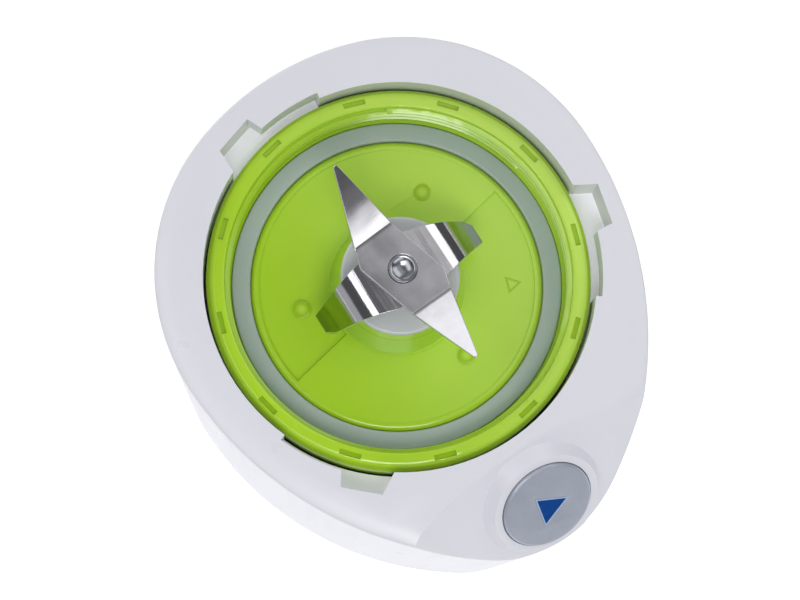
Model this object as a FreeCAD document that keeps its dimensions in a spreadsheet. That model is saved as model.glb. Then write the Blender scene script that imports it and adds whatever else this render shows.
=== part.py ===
"""Base of a personal bottle blender with its blade holder seated in the well.

Frame: +Z up, -Y towards the button, origin on the drive axis at the table plane.
Lengths are millimetres and angles are degrees.
"""
import FreeCAD
import Part
import Sketcher
import math
import os

V = FreeCAD.Vector
doc = FreeCAD.newDocument("bottle_blender_base")

# ---------------------------------------------------------------- driving sizes
SIZES = {
    # housing
    "base_height": 118.0,
    "rim_height": 2.0,
    "wall": 2.2,
    "draft": 1.3,
    "rim_side": 8.7,
    "rim_back": 9.2,
    "side_centre": 28.7,
    "back_centre": 8.9,
    "front_arc": 28.3,
    "corner_lead": 4.3,
    "edge_width": 3.6,
    "edge_drop": 0.9,
    "edge_round": 0.7,
    # well and bayonet slots
    "well_radius": 41.55,
    "well_depth": 24.2,
    "pocket_reach": 4.85,
    "pocket_depth": 11.5,
    "first_pocket": -13.6,
    "channel_height": 4.5,
    "entry_reach": 1.3,
    "coupler_room": 18.5,
    "coupler_depth": 14.3,
    "shaft_hole": 6.5,
    "pin_radius": 1.2,
    "pin_spring_room": 2.3,
    "pin_travel": 1.5,
    "pin_rise": 1.5,
    "pin_gap": 0.15,
    "pin_tail": 3.9,
    "pin_collar": 0.9,
    "pin_coil_room": 0.55,
    "pin_coil_gauge": 0.2,
    # front facet and button
    "facet_margin": 2.75,
    "facet_angle": 45.0,
    "facet_radius": 150.0,
    "button_down": 14.85,
    "button_radius": 10.35,
    "button_gap": 0.2,
    "button_travel": 1.2,
    "stem_reach": 0.9,
    "press_slack": 0.4,
    "cap_wall": 1.5,
    "icon_side": 0.1,
    "icon_drop": 0.6,
    "clip_reach": 1.3,
    "clip_thick": 0.6,
    "clip_drop": 0.75,
    "plunger_gap": 0.05,
    "coil_room": 2.0,
    "coil_gauge": 0.35,
    "coil_seat": 0.4,
    "button_proud": 0.7,
    "collar_height": 3.0,
    "collar_top": 12.25,
    "collar_foot": 14.0,
    "cup_depth": 4.2,
    "cup_floor": 1.8,
    "stem_radius": 2.4,
    "cap_skin": 1.6,
    "icon_radius": 4.7,
    "icon_sink": 0.35,
    "icon_thick": 0.4,
    "board_standoff": 4.2,
    "board_screw_down": 8.4,
    "board_screw_side": 6.5,
    "board_thick": 1.4,
    "board_screw": 0.8,
    "switch_height": 2.0,
    "switch_floor": 0.2,
    "plunger_radius": 1.4,
    # blade holder
    "seat_gap": 0.2,
    "holder_gap": 0.55,
    "holder_height": 19.7,
    "holder_floor": 9.1,
    "floor_skin": 3.1,
    "holder_wall": 4.0,
    "skirt_wall": 2.6,
    "thread_pitch": 2.9,
    "thread_depth": 1.0,
    "gasket_inner": 31.6,
    "gasket_outer": 35.6,
    "gasket_height": 1.7,
    "hub_foot": 14.7,
    "hub_top": 12.6,
    "hub_height": 13.2,
    "cap_height": 1.5,
    "bush_radius": 6.0,
    "seal_radius": 7.5,
    "seal_height": 5.0,
    "groove_depth": 1.2,
    "holder_turn": 11.0,
    "notch_width": 1.1,
    "notch_length": 4.7,
    "notch_depth": 0.8,
    "notch_inset": 2.2,
    "ramp_reach": 29.8,
    "pip_circle": 21.2,
    "pip_radius": 1.9,
    # blades
    "spindle_radius": 3.0,
    "running_gap": 0.05,
    "blade_sheet": 1.3,
    "blade_lift": 6.8,
    "blade_reach": 24.5,
    "upper_half": 7.2,
    "upper_flat": 9.5,
    "upper_angle": 36.0,
    "upper_bend": 2.0,
    "lower_reach": 19.3,
    "lower_half": 6.6,
    "lower_flat": 11.2,
    "lower_angle": 60.0,
    "lower_bend": 6.5,
    # couplers
    "coupler_radius": 14.8,
    "jaw_height": 5.6,
    "jaw_clearance": 0.7,
    "coupler_plate": 3.4,
    # motor
    "motor_floor_gap": 6.5,
    "bracket_plate": 3.0,
    "upper_legs": 15.0,
    "lower_legs": 19.0,
    "bearing_height": 5.0,
    "bearing_radius": 9.0,
    "bracket_radius": 38.5,
    "stack_side": 56.0,
    "armature_radius": 16.5,
    "air_gap": 0.5,
    "shaft_radius": 4.0,
    "fan_radius": 24.0,
    "commutator_radius": 9.0,
    "mount_height": 4.0,
    "mount_circle": 34.0,
    "bolt_square": 23.5,
    "leg_radius": 4.0,
    "window_radius": 4.2,
    "coil_centre": 17.25,
    "coil_overhang": 5.5,
    "drive_gap": 0.8,
    "brush_rise": 2.6,
    # base plate and feet
    "plate_height": 2.5,
    "plate_thick": 3.0,
    "plate_gap": 0.3,
    "foot_radius": 6.5,
    "screw_radius": 1.6,
    "post_radius": 4.5,
    "cord_radius": 3.2,
    "cord_height": 15.0,
    "gland_flange": 6.8,
    "board_back": 35.0,
    "board_sheet": 1.6,
}

dim = doc.addObject("Spreadsheet::Sheet", "dim")
for row, (alias, number) in enumerate(SIZES.items(), start=1):
    dim.set(f"A{row}", alias)
    dim.set(f"B{row}", str(number))
    dim.setAlias(f"B{row}", alias)
doc.recompute()

# Levels and places that follow from the driving sizes, as expressions.
top = "dim.base_height"
deck = "(dim.base_height - dim.well_depth)"
deck_under = f"({deck} - dim.wall)"
recess = f"({deck} - dim.coupler_depth)"
recess_under = f"({recess} - dim.wall)"
slot_floor = "(dim.base_height - dim.pocket_depth)"
pocket_radius = "(dim.well_radius + dim.pocket_reach)"
half_width = "(dim.well_radius + dim.rim_side)"
back_reach = "(dim.well_radius + dim.rim_back)"
crease = "(dim.well_radius + dim.facet_margin)"
plate_under = "dim.plate_height"
plate_top = "(dim.plate_height + dim.plate_thick)"
mount_under = f"({recess_under} - 1.3)"
lower_bracket_under = f"({plate_top} + dim.motor_floor_gap)"
stack_under = f"({lower_bracket_under} + dim.bracket_plate + dim.lower_legs)"
upper_bracket_top = f"({mount_under})"
stack_top = f"({upper_bracket_top} - dim.bracket_plate - dim.upper_legs)"
holder_radius = "(dim.well_radius - dim.holder_gap)"
holder_under = f"({deck} + dim.seat_gap)"
holder_top = f"({holder_under} + dim.holder_height)"
floor_top = f"({holder_under} + dim.holder_floor)"
floor_under = f"({floor_top} - dim.floor_skin)"
thread_radius = f"({holder_radius} - dim.holder_wall)"
hub_level = f"({floor_top} + dim.hub_height)"
cap_top = f"({hub_level} + dim.cap_height)"
lower_blade_under = f"({cap_top} + dim.blade_lift)"
upper_blade_under = f"({lower_blade_under} + dim.blade_sheet)"
blades_top = f"({upper_blade_under} + dim.blade_sheet)"
driven_under = f"({recess} + dim.drive_gap + dim.coupler_plate + dim.jaw_height + dim.jaw_clearance)"
driven_top = f"({driven_under} + dim.coupler_plate)"
bush_under = f"({driven_top} + 1)"
board_face = "(dim.cup_depth + dim.cup_floor + dim.board_standoff)"
seal_under = f"({hub_level} - dim.seal_height)"
groove_floor = f"({floor_top} - dim.groove_depth)"
drive_under = f"({recess} + dim.drive_gap)"
brush_level = f"({lower_bracket_under} + dim.bearing_height + dim.brush_rise)"


# ---------------------------------------------------------------- helpers
def value(expression):
    """The number that an expression has with the sheet's present sizes."""
    return float(dim.evalExpression(str(expression)))


def cosine(expression):
    return f"cos(({expression}) * 1 deg)"


def sine(expression):
    return f"sin(({expression}) * 1 deg)"


def place(item, x=0, y=0, z=0, turn=None):
    """Bind a piece's place, and its turn about +Z if it has one."""
    if turn is not None:
        item.Placement = FreeCAD.Placement(V(), FreeCAD.Rotation(V(0, 0, 1), 1))
        item.setExpression("Placement.Rotation.Angle", f"({turn}) * 1 deg")
    for axis, expression in (("x", x), ("y", y), ("z", z)):
        item.setExpression("Placement.Base." + axis, str(expression))
    return item


def on_facet(item, offset=0, along=0, across=0):
    """Stand a piece on the front facet: its own +Z is the button's axis.

    offset is measured outwards from the facet, along is down its slope.
    """
    item.Placement = FreeCAD.Placement(V(), FreeCAD.Rotation(V(1, 0, 0), 1))
    angle = "dim.facet_angle"
    down = f"(dim.button_down + ({along}))"
    item.setExpression("Placement.Rotation.Angle", f"{angle} * 1 deg")
    item.setExpression("Placement.Base.x", str(across))
    item.setExpression("Placement.Base.y",
                       f"-{crease} - {down} * {cosine(angle)} - ({offset}) * {sine(angle)}")
    item.setExpression("Placement.Base.z",
                       f"{top} - {down} * {sine(angle)} + ({offset}) * {cosine(angle)}")
    return item


def cylinder(name, radius, height, x=0, y=0, z=0):
    item = doc.addObject("Part::Cylinder", name)
    item.setExpression("Radius", str(radius))
    item.setExpression("Height", str(height))
    return place(item, x, y, z)


def cone(name, foot, head, height, z=0):
    item = doc.addObject("Part::Cone", name)
    item.setExpression("Radius1", str(foot))
    item.setExpression("Radius2", str(head))
    item.setExpression("Height", str(height))
    return place(item, z=z)


def block(name, width, depth, height, x=0, y=0, z=0):
    """A box centred on x and y, standing on z."""
    item = doc.addObject("Part::Box", name)
    item.setExpression("Length", str(width))
    item.setExpression("Width", str(depth))
    item.setExpression("Height", str(height))
    return place(item, f"({x}) - ({width}) / 2", f"({y}) - ({depth}) / 2", z)


def fuse(name, items):
    item = doc.addObject("Part::MultiFuse", name)
    item.Shapes = items
    return item


def cut(name, base, tools):
    item = doc.addObject("Part::Cut", name)
    item.Base = base
    item.Tool = tools[0] if len(tools) == 1 else fuse(name + "_tools", tools)
    return item


def common(name, first, second):
    item = doc.addObject("Part::MultiCommon", name)
    item.Shapes = [first, second]
    return item


def ring(name, outer, inner, height, x=0, y=0, z=0):
    blank = cylinder(name + "_blank", outer, height, x, y, z)
    bore = cylinder(name + "_bore", inner, f"({height}) + 2", x, y, f"({z}) - 1")
    return cut(name, blank, [bore])


def new_body(name):
    return doc.addObject("PartDesign::Body", name)


def sketch_on(body, name, role="XY_Plane", lift=0):
    """A sketch on one of the body's own origin planes, lifted along its normal."""
    sketch = body.newObject("Sketcher::SketchObject", name)
    plane = next(item for item in body.Origin.OriginFeatures if item.Role == role)
    sketch.AttachmentSupport = [(plane, "")]
    sketch.MapMode = "FlatFace"
    sketch.setExpression("AttachmentOffset.Base.z", str(lift))
    return sketch


def hold(sketch, kind, where, expression):
    """Add one constraint and bind its datum."""
    index = sketch.addConstraint(Sketcher.Constraint(kind, *where, value(expression)))
    sketch.setExpression(f"Constraints[{index}]", str(expression))


def polygon(sketch, corners):
    """A closed outline whose corners are pairs of expressions."""
    first = sketch.GeometryCount
    count = len(corners)
    spots = [V(value(x), value(y), 0) for x, y in corners]
    lines = [Part.LineSegment(spots[i], spots[(i + 1) % count]) for i in range(count)]
    sketch.addGeometry(lines, False)
    for i in range(count):
        joined = Sketcher.Constraint("Coincident", first + i, 2, first + (i + 1) % count, 1)
        sketch.addConstraint(joined)
    for i, (x, y) in enumerate(corners):
        hold(sketch, "DistanceX", (-1, 1, first + i, 1), x)
        hold(sketch, "DistanceY", (-1, 1, first + i, 1), y)


def circle(sketch, radius, x=0, y=0):
    index = sketch.addGeometry(Part.Circle(V(value(x), value(y), 0), V(0, 0, 1), value(radius)))
    hold(sketch, "Radius", (index,), radius)
    hold(sketch, "DistanceX", (-1, 1, index, 3), x)
    hold(sketch, "DistanceY", (-1, 1, index, 3), y)


def pad(body, sketch, length, down=False):
    feature = body.newObject("PartDesign::Pad", sketch.Name + "_pad")
    feature.Profile = sketch
    feature.setExpression("Length", str(length))
    feature.Reversed = down
    body.Tip = feature
    return feature


def pocket(body, sketch, length):
    """Cut downwards, against the sketch's normal."""
    feature = body.newObject("PartDesign::Pocket", sketch.Name + "_pocket")
    feature.Profile = sketch
    feature.setExpression("Length", str(length))
    body.Tip = feature
    return feature


def revolved(name, corners):
    """A turned piece: the corners are pairs of radius and height."""
    body = new_body(name)
    sketch = sketch_on(body, name + "_profile", "XZ_Plane")
    polygon(sketch, corners)
    feature = body.newObject("PartDesign::Revolution", name + "_turned")
    feature.Profile = sketch
    feature.ReferenceAxis = (sketch, ["V_Axis"])
    feature.Angle = 360
    body.Tip = feature
    return body


def polar(body, feature, count):
    axis = next(item for item in body.Origin.OriginFeatures if item.Role == "Z_Axis")
    pattern = body.newObject("PartDesign::PolarPattern", feature.Name + "_round")
    pattern.Originals = [feature]
    pattern.Axis = (axis, [""])
    pattern.Angle = 360
    pattern.Occurrences = count
    body.Tip = pattern
    return pattern


def edges_where(shape, test):
    """Names of the edges whose middle point passes the test."""
    names = []
    for number, edge in enumerate(shape.Edges, start=1):
        middle = edge.valueAt((edge.FirstParameter + edge.LastParameter) / 2)
        if test(middle, edge):
            names.append(f"Edge{number}")
    return names


def fillet(body, base, radius, test):
    doc.recompute()
    feature = body.newObject("PartDesign::Fillet", base.Name + "_fillet")
    feature.Base = (base, edges_where(base.Shape, test))
    feature.setExpression("Radius", str(radius))
    body.Tip = feature
    return feature


def circle_crossing(first, first_radius, second, second_radius, side):
    """Where two circles in the plane cross, on the wanted side of their centre line."""
    gap = second.sub(first)
    along = (first_radius ** 2 - second_radius ** 2 + gap.Length ** 2) / (2 * gap.Length)
    height = math.sqrt(first_radius ** 2 - along ** 2)
    unit = V(gap.x / gap.Length, gap.y / gap.Length, 0)
    return first + unit * along + V(-unit.y, unit.x, 0) * (height * side)


# ---------------------------------------------------------------- housing outline
def outline(body, name, lift, inset):
    """The egg-shaped outline: six tangent arcs, drawn in by inset all round."""
    sketch = sketch_on(body, name, "XY_Plane", lift)
    reach = f"({crease} + (dim.button_down * 2 + 0.4) * {cosine('dim.facet_angle')} - ({inset}))"
    radii = {
        "front": f"dim.front_arc - ({inset})",
        "side": f"{half_width} + dim.side_centre - ({inset})",
        "corner": f"{half_width} - dim.corner_lead - ({inset})",
        "back": f"{back_reach} + dim.back_centre - ({inset})",
    }
    radius = {key: value(expression) for key, expression in radii.items()}
    side_x = value(half_width) - value(inset) - radius["side"]
    front = V(0, radius["front"] - value(reach), 0)
    back = V(0, value(back_reach) - value(inset) - radius["back"], 0)
    span = radius["side"] - radius["front"]
    side = V(side_x, front.y + math.sqrt(span ** 2 - side_x ** 2), 0)
    corner = circle_crossing(back, radius["back"] - radius["corner"],
                             side, radius["side"] - radius["corner"], -1)

    def beyond(centre, other, distance):
        return centre + (other - centre).normalize() * distance

    front_joint = beyond(side, front, radius["side"])
    side_joint = beyond(side, corner, radius["side"])
    back_joint = beyond(back, corner, radius["back"])

    def mirrored(point):
        return V(-point.x, point.y, 0)

    def arc(centre, key, start, end):
        whole = Part.Circle(centre, V(0, 0, 1), radius[key])
        first = math.atan2(start.y - centre.y, start.x - centre.x)
        last = math.atan2(end.y - centre.y, end.x - centre.x)
        return Part.ArcOfCircle(whole, first, last)

    arcs = [
        arc(front, "front", mirrored(front_joint), front_joint),
        arc(side, "side", front_joint, side_joint),
        arc(corner, "corner", side_joint, back_joint),
        arc(back, "back", back_joint, mirrored(back_joint)),
        arc(mirrored(corner), "corner", mirrored(back_joint), mirrored(side_joint)),
        arc(mirrored(side), "side", mirrored(side_joint), mirrored(front_joint)),
    ]
    sketch.addGeometry(arcs, False)
    for i in range(6):
        sketch.addConstraint(Sketcher.Constraint("Tangent", i, 2, (i + 1) % 6, 1))
    for index, key in enumerate(("front", "side", "corner", "back")):
        hold(sketch, "Radius", (index,), radii[key])
    sketch.addConstraint(Sketcher.Constraint("Equal", 1, 5))
    sketch.addConstraint(Sketcher.Constraint("Equal", 2, 4))
    hold(sketch, "DistanceX", (-1, 1, 3, 3), "0")
    hold(sketch, "DistanceY", (-1, 1, 0, 3), f"dim.front_arc - ({inset}) - {reach}")
    hold(sketch, "DistanceY", (-1, 1, 3, 3), "-dim.back_centre")
    hold(sketch, "DistanceX", (-1, 1, 1, 3), "-dim.side_centre")
    sketch.addConstraint(Sketcher.Constraint("Symmetric", 1, 3, 5, 3, -2))
    return sketch


def facet_tool(name, skin):
    """A long cylinder whose lowest line lies on the facet, sunk by skin."""
    tool = doc.addObject("Part::Cylinder", name)
    angle = "dim.facet_angle"
    tool.setExpression("Radius", f"dim.facet_radius + {skin}")
    tool.setExpression("Height", "dim.base_height * 2")
    tool.Placement = FreeCAD.Placement(V(), FreeCAD.Rotation(V(-1, 0, 0), 1))
    tool.setExpression("Placement.Rotation.Angle", f"(90 - {angle}) * 1 deg")
    tool.setExpression("Placement.Base.y",
                       f"-{crease} - dim.base_height * {cosine(angle)}"
                       f" - dim.facet_radius * {sine(angle)}")
    tool.setExpression("Placement.Base.z",
                       f"{top} - dim.base_height * {sine(angle)}"
                       f" + dim.facet_radius * {cosine(angle)}")
    return tool


def board_screw_sides():
    """The button's board hangs from two screws, left and right of the button's stem."""
    return ("-dim.board_screw_side", "dim.board_screw_side")


def screw_posts():
    """Where the four long posts stand that the base plate is screwed to."""
    side_x = f"({half_width} - 13.8)"
    front_y = f"-({crease} - 1.3)"
    return [(side_x, "22"), (f"-{side_x}", "22"), ("22", front_y), ("-22", front_y)]


def motor_posts():
    """The motor hangs from four short posts on the two axes."""
    return [("dim.mount_circle", "0"), ("-dim.mount_circle", "0"),
            ("0", "dim.mount_circle"), ("0", "-dim.mount_circle")]


def sector(name, inner, outer, start, end, height, z):
    """A slice of a ring between two angles, as a turned rectangle."""
    body = new_body(name)
    sketch = sketch_on(body, name + "_profile", "XZ_Plane")
    polygon(sketch, [(inner, "0"), (outer, "0"), (outer, height), (inner, height)])
    feature = body.newObject("PartDesign::Revolution", name + "_turned")
    feature.Profile = sketch
    feature.ReferenceAxis = (sketch, ["V_Axis"])
    feature.setExpression("Angle", f"({end}) - ({start})")
    body.Tip = feature
    return place(body, 0, 0, z, start)


def bayonet_pockets():
    """Three L-shaped slots: an open entry, a narrow slit and a lug channel under a ledge."""
    tools = []
    for number in range(3):
        middle = f"(dim.first_pocket + {120 * number})"
        entry = new_body(f"entry_{number}")
        sketch = sketch_on(entry, f"entry_{number}_plan")
        inner = "(dim.well_radius - 1)"
        wide = pocket_radius
        polygon(sketch, [
            (f"{inner} * {cosine(-7.5)}", f"{inner} * {sine(-7.5)}"),
            (f"{wide} * {cosine(-5.5)}", f"{wide} * {sine(-5.5)}"),
            (f"{wide} * {cosine(5.5)}", f"{wide} * {sine(5.5)}"),
            (f"{inner} * {cosine(9)}", f"{inner} * {sine(9)}"),
        ])
        pad(entry, sketch, "dim.pocket_depth + 1")
        tools.append(place(entry, 0, 0, slot_floor, middle))
        slit = sector(f"slit_{number}", inner, "dim.well_radius + dim.entry_reach",
                      f"{middle} - 25.5", f"{middle} - 5", "dim.pocket_depth + 1", slot_floor)
        channel = sector(f"channel_{number}", inner, pocket_radius,
                         f"{middle} - 25.5", f"{middle} - 5", "dim.channel_height", slot_floor)
        tools += [slit, channel]
    return tools


def housing_shell():
    blank = new_body("housing_blank")
    plan = outline(blank, "housing_plan", top, 0)
    body_pad = pad(blank, plan, "dim.base_height - dim.rim_height", down=True)
    body_pad.setExpression("TaperAngle", "-dim.draft")
    doc.recompute()
    level = value(top)
    chamfer = blank.newObject("PartDesign::Chamfer", "housing_edge")
    chamfer.Base = (body_pad, edges_where(body_pad.Shape, lambda p, e: abs(p.z - level) < 0.01))
    chamfer.ChamferType = "Two distances"
    chamfer.setExpression("Size", "dim.edge_drop")
    chamfer.setExpression("Size2", "dim.edge_width")
    blank.Tip = chamfer
    doc.recompute()
    if blank.Shape.BoundBox.ZMax < level - 0.01:
        raise ValueError("the top edge lost its height")
    drop = value("dim.edge_drop")
    fillet(blank, chamfer, "dim.edge_round",
           lambda p, e: abs(p.z - level + drop) < 0.05 and math.hypot(p.x, p.y) > 40)

    inside = new_body("housing_inside")
    plan = outline(inside, "inside_plan", f"{top} - dim.wall", "dim.wall")
    inner_pad = pad(inside, plan, "dim.base_height", down=True)
    inner_pad.setExpression("TaperAngle", "-dim.draft")
    front = facet_tool("inside_facet", "dim.wall")

    skins = [
        cylinder("well_skin", "dim.well_radius + dim.wall", f"{top} - {deck_under}", z=deck_under),
        cylinder("recess_skin", "dim.coupler_room + dim.wall",
                 f"{deck} - {recess_under}", z=recess_under),
        on_facet(cylinder("cup_skin", "dim.button_radius + dim.button_gap + dim.wall",
                          "dim.cup_depth + dim.cup_floor + dim.wall * 2"),
                 "-dim.cup_depth - dim.cup_floor"),
    ]
    for number in range(3):
        middle = f"(dim.first_pocket + {120 * number})"
        skins.append(sector(f"pocket_skin_{number}", "dim.well_radius", f"{pocket_radius} + dim.wall",
                            f"{middle} - 28", f"{middle} + 12",
                            "dim.pocket_depth + dim.wall", f"{slot_floor} - dim.wall"))
    for number, (x, y) in enumerate(screw_posts()):
        skins.append(cylinder(f"plate_post_{number}", "dim.post_radius",
                              f"{top} - {plate_top}", x, y, plate_top))
    for number, (x, y) in enumerate(motor_posts()):
        skins.append(cylinder(f"motor_post_{number}", "dim.post_radius",
                              f"{deck} - {mount_under} - dim.mount_height", x, y,
                              f"{mount_under} + dim.mount_height"))
    for number, x in enumerate(board_screw_sides()):
        skins.append(on_facet(cylinder(f"board_post_{number}", "dim.board_screw + 1.1",
                                       "dim.cup_floor + dim.wall + dim.board_standoff"),
                              f"-{board_face}", "dim.board_screw_down", x))
    skins.append(cylinder("interlock_boss", "dim.pin_spring_room + 1.3",
                          f"{slot_floor} - {deck_under}", *interlock_spot(), deck_under))
    hollow = cut("housing_hollow", inside, [front] + skins)

    collar = on_facet(cone("button_collar", "dim.collar_foot", "dim.collar_top",
                           "dim.collar_height"))
    collar_root = on_facet(cylinder("collar_root", "dim.collar_foot", "2"), "-2")
    shaped = cut("housing_shaped", blank, [facet_tool("front_facet", "0")])
    walled = cut("housing_walled", shaped, [hollow])
    column = common("collar_in_plan", fuse("collar_whole", [collar, collar_root]),
                    collar_limit())
    raised = fuse("housing_raised", [walled, column])

    voids = [
        cylinder("well_void", "dim.well_radius", "dim.well_depth + 5", z=deck),
        cylinder("recess_void", "dim.coupler_room", "dim.coupler_depth + 1", z=recess),
        cylinder("shaft_void", "dim.shaft_hole", "dim.coupler_depth", z=f"{recess_under} - 1"),
        on_facet(cylinder("button_void", "dim.button_radius + dim.button_gap",
                          "dim.cup_depth + 20"), "-dim.cup_depth"),
        on_facet(cylinder("stem_void", "dim.stem_radius + 0.3", "dim.cup_floor + 10"),
                 "-dim.cup_depth - dim.cup_floor - 1"),
        cylinder("pin_void", "dim.pin_radius + 0.1", "dim.wall + 2", *interlock_spot(),
                 f"{slot_floor} - dim.wall - 1"),
        cylinder("pin_spring_void", "dim.pin_spring_room",
                 f"{slot_floor} - dim.wall - {deck_under} + 1", *interlock_spot(),
                 f"{deck_under} - 1"),
    ] + bayonet_pockets()
    for number, (x, y) in enumerate(screw_posts()):
        voids.append(cylinder(f"plate_pilot_{number}", "dim.screw_radius", "14", x, y,
                              f"{plate_top} - 1"))
    for number, (x, y) in enumerate(motor_posts()):
        voids.append(cylinder(f"motor_pilot_{number}", "dim.screw_radius", "8", x, y,
                              f"{mount_under} + dim.mount_height - 1"))
    for number, x in enumerate(board_screw_sides()):
        voids.append(on_facet(cylinder(f"board_pilot_{number}", "dim.board_screw", "5"),
                              f"-{board_face} - 0.6", "dim.board_screw_down", x))
    inlet = doc.addObject("Part::Cylinder", "inlet_void")
    inlet.setExpression("Radius", "dim.cord_radius + 2.2")
    inlet.Height = 30
    inlet.Placement = FreeCAD.Placement(V(), FreeCAD.Rotation(V(-1, 0, 0), 90))
    inlet.setExpression("Placement.Base.y", f"{back_reach} - 15")
    inlet.setExpression("Placement.Base.z", "dim.cord_height")
    voids.append(inlet)
    return cut("housing_shell", raised, voids)


def collar_limit():
    """The collar stays inside the housing's own outline."""
    limit = new_body("collar_limit")
    plan = outline(limit, "limit_plan", top, "0.02")
    limit_pad = pad(limit, plan, "dim.base_height", down=True)
    limit_pad.setExpression("TaperAngle", "-dim.draft")
    upper = new_body("collar_above")
    pad(upper, outline(upper, "above_plan", top, "0.02"), "20")
    return fuse("collar_bounds", [limit, upper])


def interlock_spot():
    """The safety pin stands near the closed end of the first lug channel."""
    angle = "(dim.first_pocket - 22)"
    middle = "(dim.well_radius + dim.pocket_reach - 1.5)"
    return f"{middle} * {cosine(angle)}", f"{middle} * {sine(angle)}"


# ---------------------------------------------------------------- floor of the housing
def feet_spots():
    """Two feet at the back and two near the button, clear of the housing's wall."""
    back_x = f"({half_width} - 20.8 - dim.wall)"
    front_y = f"-({crease} + 7.9 - dim.wall)"
    return [(back_x, "29"), (f"-{back_x}", "29"), ("11", front_y), ("-11", front_y)]


def base_plate():
    body = new_body("plate_blank")
    inset = f"dim.wall + dim.plate_gap + ({top} - {plate_under}) * tan(dim.draft * 1 deg)"
    pad(body, outline(body, "plate_plan", plate_under, inset), "dim.plate_thick")
    rails = [block(f"board_rail_{side}", 4, 5, "8", f"{side} * 21", "dim.board_back", plate_top)
             for side in (-1, 1)]
    solid = fuse("plate_whole", [body] + rails)
    tools = [block("board_groove", 42.2, "dim.board_sheet", "20", 0, "dim.board_back",
                   f"{plate_top} + 2")]
    for number, (x, y) in enumerate(screw_posts()):
        tools.append(cylinder(f"screw_way_{number}", "dim.screw_radius", "10", x, y, "1"))
        tools.append(cylinder(f"screw_seat_{number}", "dim.screw_radius * 2 + 0.3",
                              "dim.plate_thick - 1.2 + 1", x, y, f"{plate_under} - 1"))
    for number, (x, y) in enumerate(feet_spots()):
        tools.append(cylinder(f"foot_way_{number}", "2.5", "10", x, y, "1"))
    for row in range(-3, 4):
        tools.append(block(f"vent_{row + 3}", 30, 2.2, "10", 0, f"{row} * 4.4", "1"))
    return cut("base_plate", solid, tools)


def rubber_feet():
    pieces = []
    for number, (x, y) in enumerate(feet_spots()):
        pieces += [
            cylinder(f"foot_{number}", "dim.foot_radius", plate_under, x, y, "0"),
            cylinder(f"foot_neck_{number}", "2.5", "dim.plate_thick", x, y, plate_under),
            cylinder(f"foot_barb_{number}", "3.6", "1.5", x, y, plate_top),
        ]
    return fuse("rubber_feet", pieces)


def screws(name, spots, head_z, head, shank, radius, up=True):
    """Pan-head screws that share one node; head_z is the free end of the head."""
    pieces = []
    for number, (x, y) in enumerate(spots):
        whole = cylinder(f"{name}_head_{number}", head[0], head[1], x, y, head_z)
        rod = cylinder(f"{name}_shank_{number}", radius, shank, x, y, f"{head_z} + {head[1]}")
        drive = block(f"{name}_slot_{number}", f"{head[0]} * 1.3", 0.6, f"{head[1]} * 0.8",
                      x, y, f"{head_z} - {head[1]} * 0.4")
        pieces.append(cut(f"{name}_{number}", fuse(f"{name}_whole_{number}", [whole, rod]),
                          [drive]))
    return fuse(name, pieces)


# ---------------------------------------------------------------- motor
def bolt_spots():
    return [(f"{x} * dim.bolt_square", f"{y} * dim.bolt_square")
            for x in (-1, 1) for y in (-1, 1)]


def upper_bracket():
    plate = cylinder("upper_disc", "dim.bracket_radius", "dim.bracket_plate",
                     z=f"{upper_bracket_top} - dim.bracket_plate")
    hub = cylinder("upper_hub", "dim.bearing_radius + 3", "dim.bearing_height",
                   z=f"{upper_bracket_top} - dim.bearing_height")
    legs = [cylinder(f"upper_leg_{n}", "dim.leg_radius", "dim.upper_legs + 1", x, y, stack_top)
            for n, (x, y) in enumerate(bolt_spots())]
    tools = [cylinder("upper_seat", "dim.bearing_radius", "20", z=f"{upper_bracket_top} - 15")]
    tools += [cylinder(f"upper_bolt_way_{n}", "dim.screw_radius", "40", x, y, f"{stack_top} - 5")
              for n, (x, y) in enumerate(bolt_spots())]
    tools += [cylinder(f"upper_mount_way_{n}", "dim.screw_radius", "20", x, y,
                       f"{upper_bracket_top} - 15") for n, (x, y) in enumerate(motor_posts())]
    tools += [cylinder(f"upper_post_way_{n}", "dim.post_radius + 0.5", "20", x, y,
                       f"{upper_bracket_top} - 15") for n, (x, y) in enumerate(screw_posts())]
    for number in range(8):
        angle = 22.5 + 45 * number
        tools.append(cylinder(f"upper_window_{number}", "dim.window_radius", "20",
                              f"19.5 * {cosine(angle)}", f"19.5 * {sine(angle)}",
                              f"{upper_bracket_top} - 15"))
    return cut("upper_bracket", fuse("upper_whole", [plate, hub] + legs), tools)


def lower_bracket():
    square = block("lower_square", "dim.stack_side", "dim.stack_side", "dim.bracket_plate",
                   0, 0, lower_bracket_under)
    corners = cylinder("lower_corners", "dim.stack_side * 0.645", "dim.bracket_plate",
                       z=lower_bracket_under)
    plate = common("lower_plate", square, corners)
    hub = cylinder("lower_hub", "dim.bearing_radius + 3", "dim.bearing_height",
                   z=lower_bracket_under)
    legs = [cylinder(f"lower_leg_{n}", "dim.leg_radius", "dim.lower_legs + 1", x, y,
                     f"{stack_under} - dim.lower_legs - 1")
            for n, (x, y) in enumerate(bolt_spots())]
    tools = [cylinder("lower_seat", "dim.bearing_radius", "20", z=f"{lower_bracket_under} - 5")]
    tools += [cylinder(f"lower_bolt_way_{n}", "dim.screw_radius", "60", x, y,
                       f"{lower_bracket_under} - 5") for n, (x, y) in enumerate(bolt_spots())]
    for number in range(8):
        angle = 45 * number
        tools.append(cylinder(f"lower_window_{number}", "dim.window_radius", "10",
                              f"24 * {cosine(angle)}", f"24 * {sine(angle)}",
                              f"{lower_bracket_under} - 5"))
    return cut("lower_bracket", fuse("lower_whole", [plate, hub] + legs), tools)


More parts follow.
